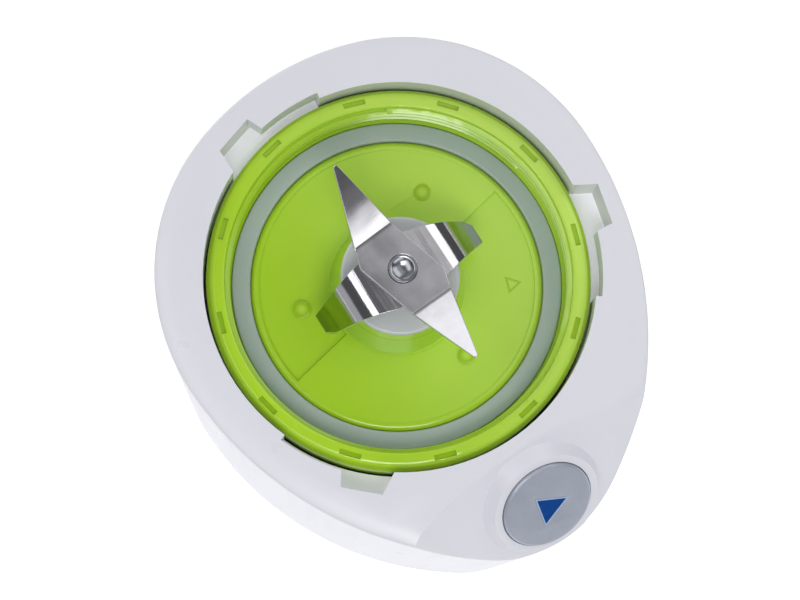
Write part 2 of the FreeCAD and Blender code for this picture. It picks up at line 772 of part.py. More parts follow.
def motor_stator():
    square = block("stack_square", "dim.stack_side", "dim.stack_side",
                   f"{stack_top} - {stack_under}", 0, 0, stack_under)
    corners = cylinder("stack_corners", "dim.stack_side * 0.645", f"{stack_top} - {stack_under}",
                       z=stack_under)
    tools = [cylinder("stack_bore", "dim.armature_radius + dim.air_gap", "120",
                      z=f"{stack_under} - 10")]
    for x in (-1, 1):
        for y in (-1, 1):
            tools.append(block(f"stack_window_{x + 1}_{y + 1}", "dim.coil_overhang",
                               "dim.coil_overhang", "120",
                               f"{x} * (dim.coil_centre + 1)", f"{y} * dim.coil_centre",
                               f"{stack_under} - 10"))
    tools += [cylinder(f"stack_bolt_way_{n}", "dim.screw_radius", "120", x, y,
                       f"{stack_under} - 10") for n, (x, y) in enumerate(bolt_spots())]
    return cut("motor_stator", common("stack_blank", square, corners), tools)


def field_coils():
    height = f"({stack_top} - {stack_under})"
    coils = []
    for side in (-1, 1):
        centre = f"{side} * dim.coil_centre"
        width = "2 * (dim.coil_centre + 1) + dim.coil_overhang"
        outer = block(f"coil_outer_{side + 1}", width, "dim.coil_overhang",
                      f"{height} + 2 * dim.coil_overhang", 0, centre,
                      f"{stack_under} - dim.coil_overhang")
        inner = block(f"coil_inner_{side + 1}", f"{width} - 2 * dim.coil_overhang",
                      "dim.coil_overhang + 1.5", height, 0, centre, stack_under)
        coils.append(cut(f"coil_{side + 1}", outer, [inner]))
    return fuse("field_coils", coils)


def motor_bolts():
    length = f"{upper_bracket_top} - {lower_bracket_under}"
    return screws("motor_bolts", bolt_spots(), f"({lower_bracket_under} - 2.4)",
                  ("3.2", "2.4"), length, "dim.screw_radius")


def mount_screws():
    head_z = f"({upper_bracket_top} - dim.bracket_plate - 2.2)"
    return screws("mount_screws", motor_posts(), head_z, ("3.2", "2.2"),
                  "dim.bracket_plate + dim.mount_height + 6.5", "dim.screw_radius")


def motor_mounts():
    rings = [ring(f"mount_{n}", 6, "dim.screw_radius", "dim.mount_height", x, y, mount_under)
             for n, (x, y) in enumerate(motor_posts())]
    return fuse("motor_mounts", rings)


def brush_gear():
    """Brass holders, carbon brushes and their springs, one of each on either side."""
    start = "(dim.commutator_radius + 0.8)"
    groups = {"brush_holders": [], "carbon_brushes": [], "brush_springs": []}
    for side in (-1, 1):
        def along(distance):
            return f"{side} * ({distance})"
        tag = side + 1
        case = block(f"holder_case_{tag}", 15, 8, 7.5, along(f"{start} + 7.5"), 0, brush_level)
        chute = block(f"holder_chute_{tag}", 14, 5.2, 4.7, along(f"{start} + 6"), 0,
                      f"{brush_level} + 1.4")
        foot_height = "(dim.bearing_height + dim.brush_rise - dim.bracket_plate)"
        foot = block(f"holder_foot_{tag}", 6, 8, foot_height, along(f"{start} + 11.5"), 0,
                     f"{brush_level} - {foot_height}")
        groups["brush_holders"].append(cut(f"brush_holder_{tag}",
                                           fuse(f"holder_all_{tag}", [case, foot]), [chute]))
        groups["carbon_brushes"].append(block(f"brush_{tag}", 8, 5, 4.5,
                                              along("dim.commutator_radius + 0.1 + 4"), 0,
                                              f"{brush_level} + 1.5"))
        groups["brush_springs"].append(block(f"brush_spring_{tag}", 4.5, 3, 3,
                                             along("dim.commutator_radius + 8.1 + 2.35"), 0,
                                             f"{brush_level} + 2.2"))
    return [fuse(name, items) for name, items in groups.items()]


def rotor():
    """Everything on the motor shaft, from the lower bearing to the drive coupler."""
    low = f"({lower_bracket_under} - 1.5)"
    plate_high = f"({drive_under} + dim.coupler_plate)"
    shaft = revolved("motor_shaft", [
        ("0", low), ("dim.shaft_radius", low),
        ("dim.shaft_radius", plate_high), ("dim.shaft_radius - 1", plate_high),
        ("dim.shaft_radius - 1", f"{plate_high} + 3.4"), ("0", f"{plate_high} + 3.4"),
    ])
    core_blank = cylinder("core_blank", "dim.armature_radius", f"{stack_top} - {stack_under}",
                          z=stack_under)
    slots = [cylinder("core_bore", "dim.shaft_radius", "120", z=f"{stack_under} - 10")]
    for number in range(12):
        x = f"(dim.armature_radius - 2.6) * {cosine(30 * number)}"
        y = f"(dim.armature_radius - 2.6) * {sine(30 * number)}"
        slots.append(cylinder(f"core_slot_{number}", 1.7, "120", x, y, f"{stack_under} - 10"))
    core = cut("armature_core", core_blank, slots)
    winding_radius = "dim.armature_radius - 3"
    winding = fuse("armature_winding", [
        ring("winding_high", winding_radius, "dim.shaft_radius + 2", "5.6", z=stack_top),
        ring("winding_low", winding_radius, "dim.shaft_radius + 2", "5.6",
             z=f"{stack_under} - 5.6"),
    ])
    commutator = ring("commutator", "dim.commutator_radius", "dim.shaft_radius", "7.5",
                      z=brush_level)
    fan_low = f"({stack_top} + 6.2)"
    blades = [cylinder("fan_disc", "dim.fan_radius", "1.4", z=fan_low),
              cylinder("fan_hub", "dim.shaft_radius + 3", "3.4", z=fan_low)]
    for number in range(10):
        angle = 36 * number
        reach = "(dim.fan_radius - 5.5)"
        blade = block(f"fan_blade_{number}", 9.5, 1.2, "3.4", 0, 0, 0)
        blade.Placement = FreeCAD.Placement(V(), FreeCAD.Rotation(V(0, 0, 1), 1))
        blade.setExpression("Placement.Rotation.Angle", f"{angle + 24} * 1 deg")
        place_x = f"{reach} * {cosine(angle)} - 4.75 * {cosine(angle + 24)}"
        place_y = f"{reach} * {sine(angle)} - 4.75 * {sine(angle + 24)}"
        blade.setExpression("Placement.Base.x", place_x)
        blade.setExpression("Placement.Base.y", place_y)
        blade.setExpression("Placement.Base.z", fan_low)
        blades.append(blade)
    bore = cylinder("fan_bore", "dim.shaft_radius", "20", z=f"{fan_low} - 5")
    fan = cut("cooling_fan", fuse("fan_whole", blades), [bore])
    plate = cylinder("drive_plate", "dim.coupler_radius", "dim.coupler_plate", z=drive_under)
    jaws = [sector(f"drive_jaw_{n}", "7.5", "dim.coupler_radius - 0.3", f"{60 * n - 12}",
                   f"{60 * n + 12}", "dim.jaw_height + 0.5", f"{plate_high} - 0.5")
            for n in range(6)]
    drive_bore = cylinder("drive_bore", "dim.shaft_radius", "20", z=f"{drive_under} - 5")
    drive = cut("drive_coupler", fuse("drive_whole", [plate] + jaws), [drive_bore])
    nut = new_body("nut_blank")
    sketch = sketch_on(nut, "nut_plan", "XY_Plane", plate_high)
    polygon(sketch, [(f"5.2 * {cosine(60 * n)}", f"5.2 * {sine(60 * n)}") for n in range(6)])
    pad(nut, sketch, "3")
    nut_bore = cylinder("nut_bore", "dim.shaft_radius - 1", "10", z=f"{plate_high} - 2")
    coupler_nut = cut("coupler_nut", nut, [nut_bore])
    return [shaft, core, winding, commutator, fan, drive, coupler_nut]


def bearings():
    bore = "dim.shaft_radius + dim.running_gap"
    return [
        ring("upper_bearing", "dim.bearing_radius", bore, "dim.bearing_height",
             z=f"{upper_bracket_top} - dim.bearing_height"),
        ring("lower_bearing", "dim.bearing_radius", bore, "dim.bearing_height",
             z=lower_bracket_under),
    ]


# ---------------------------------------------------------------- electrics
def electrics():
    face = "(dim.board_back + dim.board_sheet / 2)"
    board = block("control_board", 42, "dim.board_sheet", 30, 0, "dim.board_back",
                  f"{plate_top} + 2")
    capacitor = block("suppression_capacitor", 14, 5, 12, -13, f"{face} + 2.5",
                      f"{plate_top} + 10.5")
    relay = block("relay", 12, 5, 15, 13.5, f"{face} + 2.5", f"{plate_top} + 10.5")
    case = block("terminal_case", 12, 6, 8, 0, f"{face} + 3", f"{plate_top} + 22.5")
    holes = [block(f"terminal_way_{n}", 2.6, 4, 4, f"{n} * 4", f"{face} + 5",
                   f"{plate_top} + 24.5") for n in (-1, 0, 1)]
    return [board, capacitor, relay, cut("terminal_block", case, holes)]


def cord_gland():
    """A rubber bush in the back wall: flange, neck and flange along +Y."""
    wall_out = f"({back_reach} - ({top} - dim.cord_height) * tan(dim.draft * 1 deg))"
    pieces = []
    spans = [("flange_in", "dim.gland_flange", f"{wall_out} - dim.wall - 2.2", "1.7"),
             ("neck", "dim.cord_radius + 2.2", f"{wall_out} - dim.wall - 0.6", "dim.wall + 0.9"),
             ("flange_out", "dim.gland_flange", f"{wall_out} + 0.2", "1.2")]
    for name, radius, start, length in spans:
        piece = doc.addObject("Part::Cylinder", "gland_" + name)
        piece.setExpression("Radius", radius)
        piece.setExpression("Height", length)
        pieces.append(piece)
        piece.Placement = FreeCAD.Placement(V(), FreeCAD.Rotation(V(-1, 0, 0), 90))
        piece.setExpression("Placement.Base.y", start)
        piece.setExpression("Placement.Base.z", "dim.cord_height")
    bore = doc.addObject("Part::Cylinder", "gland_bore")
    bore.setExpression("Radius", "dim.cord_radius")
    bore.Height = 30
    bore.Placement = FreeCAD.Placement(V(), FreeCAD.Rotation(V(-1, 0, 0), 90))
    bore.setExpression("Placement.Base.y", f"{wall_out} - 15")
    bore.setExpression("Placement.Base.z", "dim.cord_height")
    return cut("cord_gland", fuse("gland_whole", pieces), [bore])


# ---------------------------------------------------------------- start button
def spring(name, radius, wire, low, high, turns):
    """A closed helical wire along its own +Z, from low to high."""
    length = f"(({high}) - ({low}) - 2 * ({wire}))"
    path = doc.addObject("Part::Helix", name + "_path")
    path.setExpression("Radius", str(radius))
    path.setExpression("Height", length)
    path.setExpression("Pitch", f"{length} / {turns}")
    section = doc.addObject("Part::Circle", name + "_section")
    section.setExpression("Radius", str(wire))
    section.Placement = FreeCAD.Placement(V(), FreeCAD.Rotation(V(1, 0, 0), 90))
    section.setExpression("Placement.Base.x", str(radius))
    doc.recompute()
    coil = doc.addObject("Part::Sweep", name)
    coil.Sections = [section]
    coil.Spine = (path, [f"Edge{n + 1}" for n in range(len(path.Shape.Edges))])
    coil.Solid = True
    coil.Frenet = True
    return coil


def start_button():
    face = "(dim.collar_height + dim.button_proud)"
    under = f"({face} - dim.cap_skin)"
    foot = "-(dim.cup_depth + dim.cup_floor + dim.stem_reach)"
    skirt = "-(dim.cup_depth - dim.button_travel - dim.press_slack)"
    cap = new_body("cap_blank")
    profile = sketch_on(cap, "cap_profile", "XZ_Plane")
    polygon(profile, [
        ("0", foot), ("dim.stem_radius", foot), ("dim.stem_radius", under),
        ("dim.button_radius - dim.cap_wall", under), ("dim.button_radius - dim.cap_wall", skirt),
        ("dim.button_radius", skirt), ("dim.button_radius", face), ("0", face),
    ])
    turned = cap.newObject("PartDesign::Revolution", "cap_turned")
    turned.Profile = profile
    turned.ReferenceAxis = (profile, ["V_Axis"])
    turned.Angle = 360
    cap.Tip = turned
    level = value(face)
    fillet(cap, turned, "0.7", lambda p, e: abs(p.z - level) < 0.01)
    seat = sketch_on(cap, "icon_seat", "XY_Plane", face)
    corners = [(f"dim.icon_side + dim.icon_radius * {cosine(-4 + 120 * n)}",
                f"-dim.icon_drop + dim.icon_radius * {sine(-4 + 120 * n)}") for n in range(3)]
    polygon(seat, corners)
    pocket(cap, seat, "dim.icon_sink")
    button_cap = on_facet(cap, "0")
    icon = new_body("button_icon")
    polygon(sketch_on(icon, "icon_plan", "XY_Plane", f"{face} - dim.icon_sink"), corners)
    pad(icon, doc.getObject("icon_plan"), "dim.icon_thick")
    on_facet(icon, "0")
    clip = ring("button_clip", "dim.stem_radius + dim.clip_reach", "dim.stem_radius",
                "dim.clip_thick")
    on_facet(clip, "-(dim.cup_depth + dim.cup_floor + dim.clip_drop)")
    low = f"({board_face} - dim.switch_floor - dim.button_travel - dim.plunger_gap)"
    plunger = on_facet(cylinder("switch_plunger", "dim.plunger_radius", f"{low} + ({foot})"),
                       f"-{low}")
    coil = spring("button_spring", "dim.stem_radius + dim.coil_room", "dim.coil_gauge",
                  "-dim.cup_depth", under, 4)
    on_facet(coil, "-dim.cup_depth + dim.coil_seat")
    button_cap.Label = "button_cap"
    return [button_cap, icon, clip, plunger, coil]


def button_board():
    board = block("board_blank", 19, 14.7, "dim.board_thick")
    on_facet(board, f"-{board_face} - dim.board_thick", "11.5", "-9.5")
    ways = [on_facet(cylinder(f"board_way_{n}", "dim.board_screw", "6"), f"-{board_face} - 3",
                     "dim.board_screw_down", x) for n, x in enumerate(board_screw_sides())]
    plate = cut("button_board", board, ways)
    case = block("switch_case", 6, 6, "dim.switch_height")
    on_facet(case, f"-{board_face}", "3", "-3")
    well = on_facet(cylinder("switch_well", "dim.plunger_radius + 0.1", "5"),
                    f"-{board_face} + dim.switch_floor")
    switch = cut("start_switch", case, [well])
    pieces = []
    for number, x in enumerate(board_screw_sides()):
        head = on_facet(cylinder(f"board_screw_head_{number}", "dim.board_screw + 0.9", "1.2"),
                        f"-{board_face} - dim.board_thick - 1.2", "dim.board_screw_down", x)
        rod = on_facet(cylinder(f"board_screw_rod_{number}", "dim.board_screw", "4.6"),
                       f"-{board_face} - dim.board_thick", "dim.board_screw_down", x)
        pieces += [head, rod]
    return [plate, switch, fuse("board_screws", pieces)]


# ---------------------------------------------------------------- safety pin
def interlock():
    x, y = interlock_spot()
    crown = f"({slot_floor} + dim.pin_rise)"
    collar_high = f"({slot_floor} - dim.wall - dim.pin_gap)"
    tail = f"({deck_under} - dim.pin_tail)"
    pin = fuse("pin_whole", [
        cylinder("pin_rod", "dim.pin_radius", f"{crown} - {tail}", x, y, tail),
        cylinder("pin_collar", "dim.pin_spring_room - 0.2", "dim.pin_collar", x, y,
                 f"{collar_high} - dim.pin_collar"),
    ])
    tip = doc.addObject("Part::Fillet", "interlock_plunger")
    doc.recompute()
    level = value(crown)
    names = [int(n[4:]) for n in edges_where(pin.Shape, lambda p, e: abs(p.z - level) < 0.01)]
    tip.Base = pin
    tip.Edges = [(number, 0.7, 0.7) for number in names]
    coil = spring("interlock_spring", "dim.pin_radius + dim.pin_coil_room", "dim.pin_coil_gauge",
                  deck_under, f"{collar_high} - dim.pin_collar", 7)
    place(coil, x, y, f"{deck_under} + 0.25")
    cap = ring("interlock_cap", "dim.pin_spring_room + 1.3", "dim.pin_radius + 0.1", "1.2",
               x, y, f"{deck_under} - 1.2")
    case = block("interlock_case", 6.4, 12, 9, f"{x} - 1.5", f"{y} + 3", f"{deck_under} - 10.2")
    way = cylinder("interlock_way", "dim.pin_radius + 0.2", "8", x, y,
                   f"{tail} - dim.pin_travel - 0.5")
    return [tip, coil, cap, cut("interlock_switch", case, [way])]


# ---------------------------------------------------------------- blade holder
def blade_holder():
    radius, inner = holder_radius, thread_radius
    skirt = f"({radius} - dim.skirt_wall)"
    tube = "(dim.bush_radius + 3)"
    body = revolved("blade_holder", [
        (skirt, holder_under), (radius, holder_under), (radius, holder_top),
        (inner, holder_top), (inner, floor_top),
        ("dim.gasket_outer + 0.1", floor_top),
        ("dim.gasket_outer + 0.1", groove_floor), ("dim.gasket_inner - 0.1", groove_floor),
        ("dim.gasket_inner - 0.1", floor_top),
        ("dim.hub_foot", floor_top), ("dim.hub_top", hub_level),
        ("dim.seal_radius", hub_level), ("dim.seal_radius", seal_under),
        ("dim.bush_radius", seal_under), ("dim.bush_radius", bush_under),
        (tube, bush_under), (tube, floor_under), (skirt, floor_under),
    ])
    high = value(holder_top)
    outer = value(radius)
    fillet(body, body.Tip, "2.2",
           lambda p, e: abs(p.z - high) < 0.01 and abs(math.hypot(p.x, p.y) - outer) < 0.01)
    thread_r = value(inner)
    fillet(body, body.Tip, "0.5",
           lambda p, e: abs(p.z - high) < 0.01 and abs(math.hypot(p.x, p.y) - thread_r) < 0.01)

    notch = sketch_on(body, "notch_plan", "XY_Plane", holder_top)
    middle = f"({radius} - dim.notch_inset)"
    polygon(notch, [(f"{middle} {x} dim.notch_width / 2", f"{y} dim.notch_length / 2")
                    for x, y in (("-", "-"), ("+", "-"), ("+", ""), ("-", ""))])
    polar(body, pocket(body, notch, "dim.notch_depth"), 12)

    ramp = sketch_on(body, "ramp_section", "XZ_Plane")
    polygon(ramp, [("dim.hub_foot + 0.5", f"{floor_top} - 1"), ("dim.ramp_reach", f"{floor_top} - 1"),
                   ("dim.ramp_reach", f"{floor_top} + 1"), ("dim.hub_foot + 0.5", f"{floor_top} + 1")])
    sweep = body.newObject("PartDesign::SubtractiveHelix", "ramp")
    sweep.Profile = ramp
    sweep.ReferenceAxis = (ramp, ["V_Axis"])
    sweep.Mode = "height-turns-angle"
    sweep.Height = 1
    sweep.Turns = 0.5
    sweep.LeftHanded = True
    body.Tip = sweep
    polar(body, sweep, 2)

    ridge = sketch_on(body, "ridge_section", "XZ_Plane")
    start = f"{floor_top} + 1.6"
    polygon(ridge, [(f"{inner} + 0.4", start), (f"{inner} + 0.4", f"{start} + 1.5"),
                    (f"{inner} - dim.thread_depth", f"{start} + 1"),
                    (f"{inner} - dim.thread_depth", f"{start} + 0.5")])
    thread = body.newObject("PartDesign::AdditiveHelix", "thread")
    thread.Profile = ridge
    thread.ReferenceAxis = (ridge, ["V_Axis"])
    thread.Mode = "pitch-turns-angle"
    thread.setExpression("Pitch", "dim.thread_pitch")
    thread.setExpression("Turns", f"({holder_top} - {floor_top} - 4.4) / dim.thread_pitch")
    body.Tip = thread

    pips = sketch_on(body, "pip_plan", "XY_Plane", groove_floor)
    for angle in (41.5, 161, -78.5):
        circle(pips, "dim.pip_radius", f"dim.pip_circle * {cosine(f'{angle} - dim.holder_turn')}",
               f"dim.pip_circle * {sine(f'{angle} - dim.holder_turn')}")
    pad(body, pips, "dim.groove_depth")
    return place(body, turn="dim.holder_turn")


def holder_inserts():
    bore = "dim.spindle_radius + dim.running_gap"
    crown = f"({groove_floor} + dim.gasket_height)"
    gasket = revolved("jar_gasket", [
        ("dim.gasket_inner", groove_floor), ("dim.gasket_outer", groove_floor),
        ("dim.gasket_outer", f"{crown} - 0.3"), ("dim.gasket_outer - 0.3", crown),
        ("dim.gasket_inner + 0.3", crown), ("dim.gasket_inner", f"{crown} - 0.3"),
    ])
    cap = new_body("hub_cap")
    profile = sketch_on(cap, "hub_cap_profile", "XZ_Plane")
    polygon(profile, [(bore, hub_level), ("dim.hub_top", hub_level),
                      ("dim.hub_top", f"{cap_top} - 0.4"), ("dim.hub_top - 0.4", cap_top),
                      (bore, cap_top)])
    turned = cap.newObject("PartDesign::Revolution", "hub_cap_turned")
    turned.Profile = profile
    turned.ReferenceAxis = (profile, ["V_Axis"])
    turned.Angle = 360
    cap.Tip = turned
    bush = ring("bearing_bush", "dim.bush_radius", bore, f"{seal_under} - {bush_under}",
                z=bush_under)
    seal = ring("shaft_seal", "dim.seal_radius", bore, "dim.seal_height", z=seal_under)
    return [gasket, cap, bush, seal]


# ---------------------------------------------------------------- blades
def bent_strip(name, flat, angle, reach, under, bend):
    """A sheet along X, flat to |x| = flat; beyond it angle bends it up, or down if negative."""
    sheet = "dim.blade_sheet"
    fold = f"({flat} - {sheet} * tan({angle} / 2 * 1 deg))"
    rise = f"(({reach}) - {flat}) * tan({angle} * 1 deg)"
    body = new_body(name)
    sketch = sketch_on(body, name + "_side", "XZ_Plane")
    low = [(f"-({reach})", f"{under} + {rise}"), (f"-{flat}", under),
           (flat, under), (reach, f"{under} + {rise}")]
    high_z = f"{under} + {rise} + {sheet} / {cosine(angle)}"
    high = [(reach, high_z), (fold, f"{under} + {sheet}"),
            (f"-{fold}", f"{under} + {sheet}"), (f"-({reach})", high_z)]
    polygon(sketch, low + high)
    strip = pad(body, sketch, "40")
    strip.SideType = "Symmetric"
    folds = [(value(flat), value(under)), (value(fold), value(f"{under} + {sheet}"))]
    if value(angle) > 0:
        folds.reverse()
    for radius, (x, z) in zip((bend, f"{bend} + {sheet}"), folds):
        fillet(body, body.Tip, radius,
               lambda p, e, x=x, z=z: abs(abs(p.x) - x) < 0.01 and abs(p.z - z) < 0.01
               and abs(p.y) < 0.01)
    return body


def blade(name, strip, corners, rounded, turn, bore_z):
    """The plan outline of a blade, cut from its bent strip and bored."""
    plan = new_body(name + "_plan")
    sketch = sketch_on(plan, name + "_outline", "XY_Plane", f"{bore_z} - 40")
    polygon(sketch, corners)
    pad(plan, sketch, "80")
    for index, radius in rounded.items():
        x, y = (value(item) for item in corners[index])
        fillet(plan, plan.Tip, radius,
               lambda p, e, x=x, y=y: abs(p.x - x) < 0.01 and abs(p.y - y) < 0.01)
    bore = cylinder(name + "_bore", "dim.spindle_radius", "20", z=f"{bore_z} - 10")
    piece = cut(name, common(name + "_sheet", strip, plan), [bore])
    return place(piece, turn=turn)


def blades():
    tip = "(dim.blade_reach + 1.3)"
    upper = blade(
        "upper_blade",
        bent_strip("upper_strip", "dim.upper_flat", "dim.upper_angle", "dim.blade_reach + 4",
                   upper_blade_under, "dim.upper_bend"),
        [(tip, "0"), ("5", "dim.upper_half"), (f"-{tip}", "0"), ("-5", "-dim.upper_half")],
        {0: 0.55, 2: 0.55}, "92.8", upper_blade_under)
    reach, half = "dim.lower_reach", "dim.lower_half"
    wing = [(f"{reach} - 1.6", "3"), (reach, "1.6"), (reach, "-2.7"), ("10.8", "-5"),
            ("4.5", f"-({half} + 0.1)")]
    other = [(f"-({x})", f"-({y})") for x, y in wing]
    lower = blade(
        "lower_blade",
        bent_strip("lower_strip", "dim.lower_flat", "-dim.lower_angle", "dim.lower_reach + 2",
                   lower_blade_under, "dim.lower_bend"),
        [("4.5", f"{half} + 0.1"), ("10.8", "5")] + wing
        + [("-4.5", f"-({half} + 0.1)"), ("-10.8", "-5")] + other,
        {}, "-1.4", lower_blade_under)
    return [upper, lower]


def blade_drive():
    end = f"({blades_top} + 0.4)"
    rod = revolved("spindle_rod", [("0", driven_under), ("dim.spindle_radius", driven_under),
                                   ("dim.spindle_radius", end), ("0", end)])
    dimple = doc.addObject("Part::Sphere", "spindle_dimple")
    dimple.Radius = 4.3
    place(dimple, z=f"{end} + 3.5")
    spindle = cut("blade_spindle", rod, [dimple])
    spacer = ring("blade_spacer", "dim.spindle_radius + 2.5", "dim.spindle_radius",
                  "dim.blade_lift - 0.3", z=f"{cap_top} + 0.3")
    washer = ring("thrust_washer", "dim.spindle_radius + 2.5", "dim.spindle_radius", "0.8",
                  z=driven_top)
    plate = cylinder("driven_plate", "dim.coupler_radius", "dim.coupler_plate", z=driven_under)
    jaws = [sector(f"driven_jaw_{n}", "7.5", "dim.coupler_radius - 0.3", f"{60 * n + 18}",
                   f"{60 * n + 42}", "dim.jaw_height + 0.5",
                   f"{driven_under} - dim.jaw_height") for n in range(6)]
    way = cylinder("driven_bore", "dim.spindle_radius", "20", z=f"{driven_under} - 5")
    driven = cut("driven_coupler", fuse("driven_whole", [plate] + jaws), [way])
    return [spindle, spacer, washer, driven]


# ---------------------------------------------------------------- build and write
def build():
    pieces = [housing_shell(), base_plate(), rubber_feet()]
    pieces.append(screws("base_screws", screw_posts(), f"({plate_under} + 0.2)",
                         ("dim.screw_radius * 2", "1.6"), "12", "dim.screw_radius"))
    pieces += [upper_bracket(), lower_bracket(), motor_stator(), field_coils(), motor_bolts(),
               mount_screws(), motor_mounts()]
    pieces += bearings() + brush_gear() + rotor() + electrics()
    pieces += [cord_gland()] + start_button() + button_board() + interlock()
    pieces += [blade_holder()] + holder_inserts() + blades() + blade_drive()
    return pieces


def check(pieces):
    doc.recompute()
    faults = [f"{item.Name}: {item.State}" for item in doc.Objects
              if "Invalid" in item.State or "Error" in item.State]
    for piece in pieces:
        if piece.Shape.isNull() or not piece.Shape.isValid() or not piece.Shape.Solids:
            faults.append(f"{piece.Label}: no sound shape")
    if faults:
        raise ValueError("\n".join(faults))


def write(pieces):
    os.makedirs("parts", exist_ok=True)
    for piece in pieces:
        piece.Shape.exportStep(f"parts/{piece.Label}.step")
        print(f"{piece.Label:24s} solids {len(piece.Shape.Solids):2d}"
              f" volume {piece.Shape.Volume:10.1f}")


parts = build()
check(parts)
write(parts)
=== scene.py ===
import math

import bmesh
import bpy
from mathutils import Matrix, Vector


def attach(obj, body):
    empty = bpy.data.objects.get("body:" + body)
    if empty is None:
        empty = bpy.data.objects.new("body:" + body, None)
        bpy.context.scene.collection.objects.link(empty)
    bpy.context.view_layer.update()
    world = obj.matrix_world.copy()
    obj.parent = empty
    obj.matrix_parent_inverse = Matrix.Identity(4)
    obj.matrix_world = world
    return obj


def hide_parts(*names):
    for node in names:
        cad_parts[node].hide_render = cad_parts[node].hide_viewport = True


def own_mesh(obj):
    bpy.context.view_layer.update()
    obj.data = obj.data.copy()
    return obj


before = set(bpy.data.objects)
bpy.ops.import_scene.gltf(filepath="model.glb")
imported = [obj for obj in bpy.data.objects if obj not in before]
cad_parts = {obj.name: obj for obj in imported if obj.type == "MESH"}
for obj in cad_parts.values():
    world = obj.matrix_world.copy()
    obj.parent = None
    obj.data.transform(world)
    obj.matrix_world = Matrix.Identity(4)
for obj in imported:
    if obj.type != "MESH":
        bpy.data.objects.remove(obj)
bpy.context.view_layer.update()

# ---------------------------------------------------------------------------
# Housing shell. One injection moulding in glossy white ABS: the tapering egg-shaped
# wall, the top rim with its softly chamfered edge, the round well with three bayonet
# slots, the dished front facet and the raised collar that guards the button.
# ---------------------------------------------------------------------------
MM = 0.001


class Wire:
    """A value on its way through a node tree; sums and products of it add Math nodes."""

    def __init__(self, graph, socket):
        self.graph = graph
        self.socket = socket

    def math(self, operation, first, second=0.0):
        node = self.graph.add("ShaderNodeMath", {"operation": operation}, {0: first, 1: second})
        return Wire(self.graph, node.outputs[0])

    def __add__(self, other):
        return self.math("ADD", self, other)

    __radd__ = __add__

    def __sub__(self, other):
        return self.math("SUBTRACT", self, other)

    def __rsub__(self, other):
        return self.math("SUBTRACT", other, self)

    def __mul__(self, other):
        return self.math("MULTIPLY", self, other)

    __rmul__ = __mul__

    def __truediv__(self, other):
        return self.math("DIVIDE", self, other)

    def clamped(self):
        return self.math("MINIMUM", self.math("MAXIMUM", self, 0.0), 1.0)

    def step(self, edge, soft):
        """0 below the edge, 1 above it, with a soft rise of that width between."""
        return ((self - edge) / soft + 0.5).clamped()


class Graph:
    """A node tree under construction, with one method that adds any node."""

    def __init__(self, tree):
        self.tree = tree

    def add(self, kind, settings=None, values=None):
        node = self.tree.nodes.new(kind)
        for key, setting in (settings or {}).items():
            setattr(node, key, setting)
        for key, value in (values or {}).items():
            self.feed(node.inputs[key], value)
        return node

    def feed(self, socket, value):
        if isinstance(value, Wire):
            value = value.socket
        if isinstance(value, bpy.types.NodeSocket):
            self.tree.links.new(value, socket)
        elif socket.type == "RGBA" and len(value) == 3:
            socket.default_value = (*value, 1.0)
        else:
            socket.default_value = value


class Finish(Graph):
    """One material: a Principled shader and the nodes that vary it."""

    def __init__(self, name, colour, **shader):
        self.material = bpy.data.materials.new(name)
        self.material.use_nodes = True
        self.material.diffuse_color = (*colour, 1.0)
        super().__init__(self.material.node_tree)
        self.shader = self.tree.nodes["Principled BSDF"]
        self.set(base_color=colour, **shader)

    def set(self, **sockets):
        """Feed the shader's inputs, named in lower case with underscores."""
        for words, value in sockets.items():
            name = "IOR" if words == "ior" else words.replace("_", " ").title()
            self.feed(self.shader.inputs[name], value)

    def place(self, scale=(1.0, 1.0, 1.0), turn=(0.0, 0.0, 0.0), centre=(0.0, 0.0, 0.0)):
        """Object coordinates measured from centre, then turned and stretched."""
        whole = self.add("ShaderNodeTexCoord").outputs["Object"]
        moved = self.add("ShaderNodeVectorMath", {"operation": "SUBTRACT"}, {0: whole, 1: centre})
        return self.add("ShaderNodeMapping", None, {
            "Vector": moved.outputs[0], "Rotation": turn, "Scale": scale}).outputs[0]

    def axes(self, **where):
        split = self.add("ShaderNodeSeparateXYZ", None, {0: self.place(**where)})
        return [Wire(self, socket) for socket in split.outputs]

    def reach(self, centre=(0.0, 0.0, 0.0)):
        """Distance from an upright line through the centre."""
        flat = self.place(scale=(1.0, 1.0, 0.0), centre=(*centre[:2], 0.0))
        length = self.add("ShaderNodeVectorMath", {"operation": "LENGTH"}, {0: flat})
        return Wire(self, length.outputs["Value"])

    def noise(self, scale, detail=2.0, rough=0.5, where=None):
        node = self.add("ShaderNodeTexNoise", None, {
            "Vector": where or self.place(), "Scale": scale, "Detail": detail,
            "Roughness": rough})
        return Wire(self, node.outputs["Fac"])

    def cells(self, scale, where=None, feature="F1"):
        node = self.add("ShaderNodeTexVoronoi", {"feature": feature}, {
            "Vector": where or self.place(), "Scale": scale})
        return Wire(self, node.outputs["Distance"])

    def mix(self, factor, first, second):
        """A colour between two colours."""
        node = self.add("ShaderNodeMix", {"data_type": "RGBA"}, {0: factor, 6: first, 7: second})
        return node.outputs[2]

    def bump(self, height, distance):
        """Raise the surface by height times distance, in metres."""
        node = self.add("ShaderNodeBump", None, {
            "Height": height, "Strength": 1.0, "Distance": distance})
        self.feed(self.shader.inputs["Normal"], node.outputs[0])


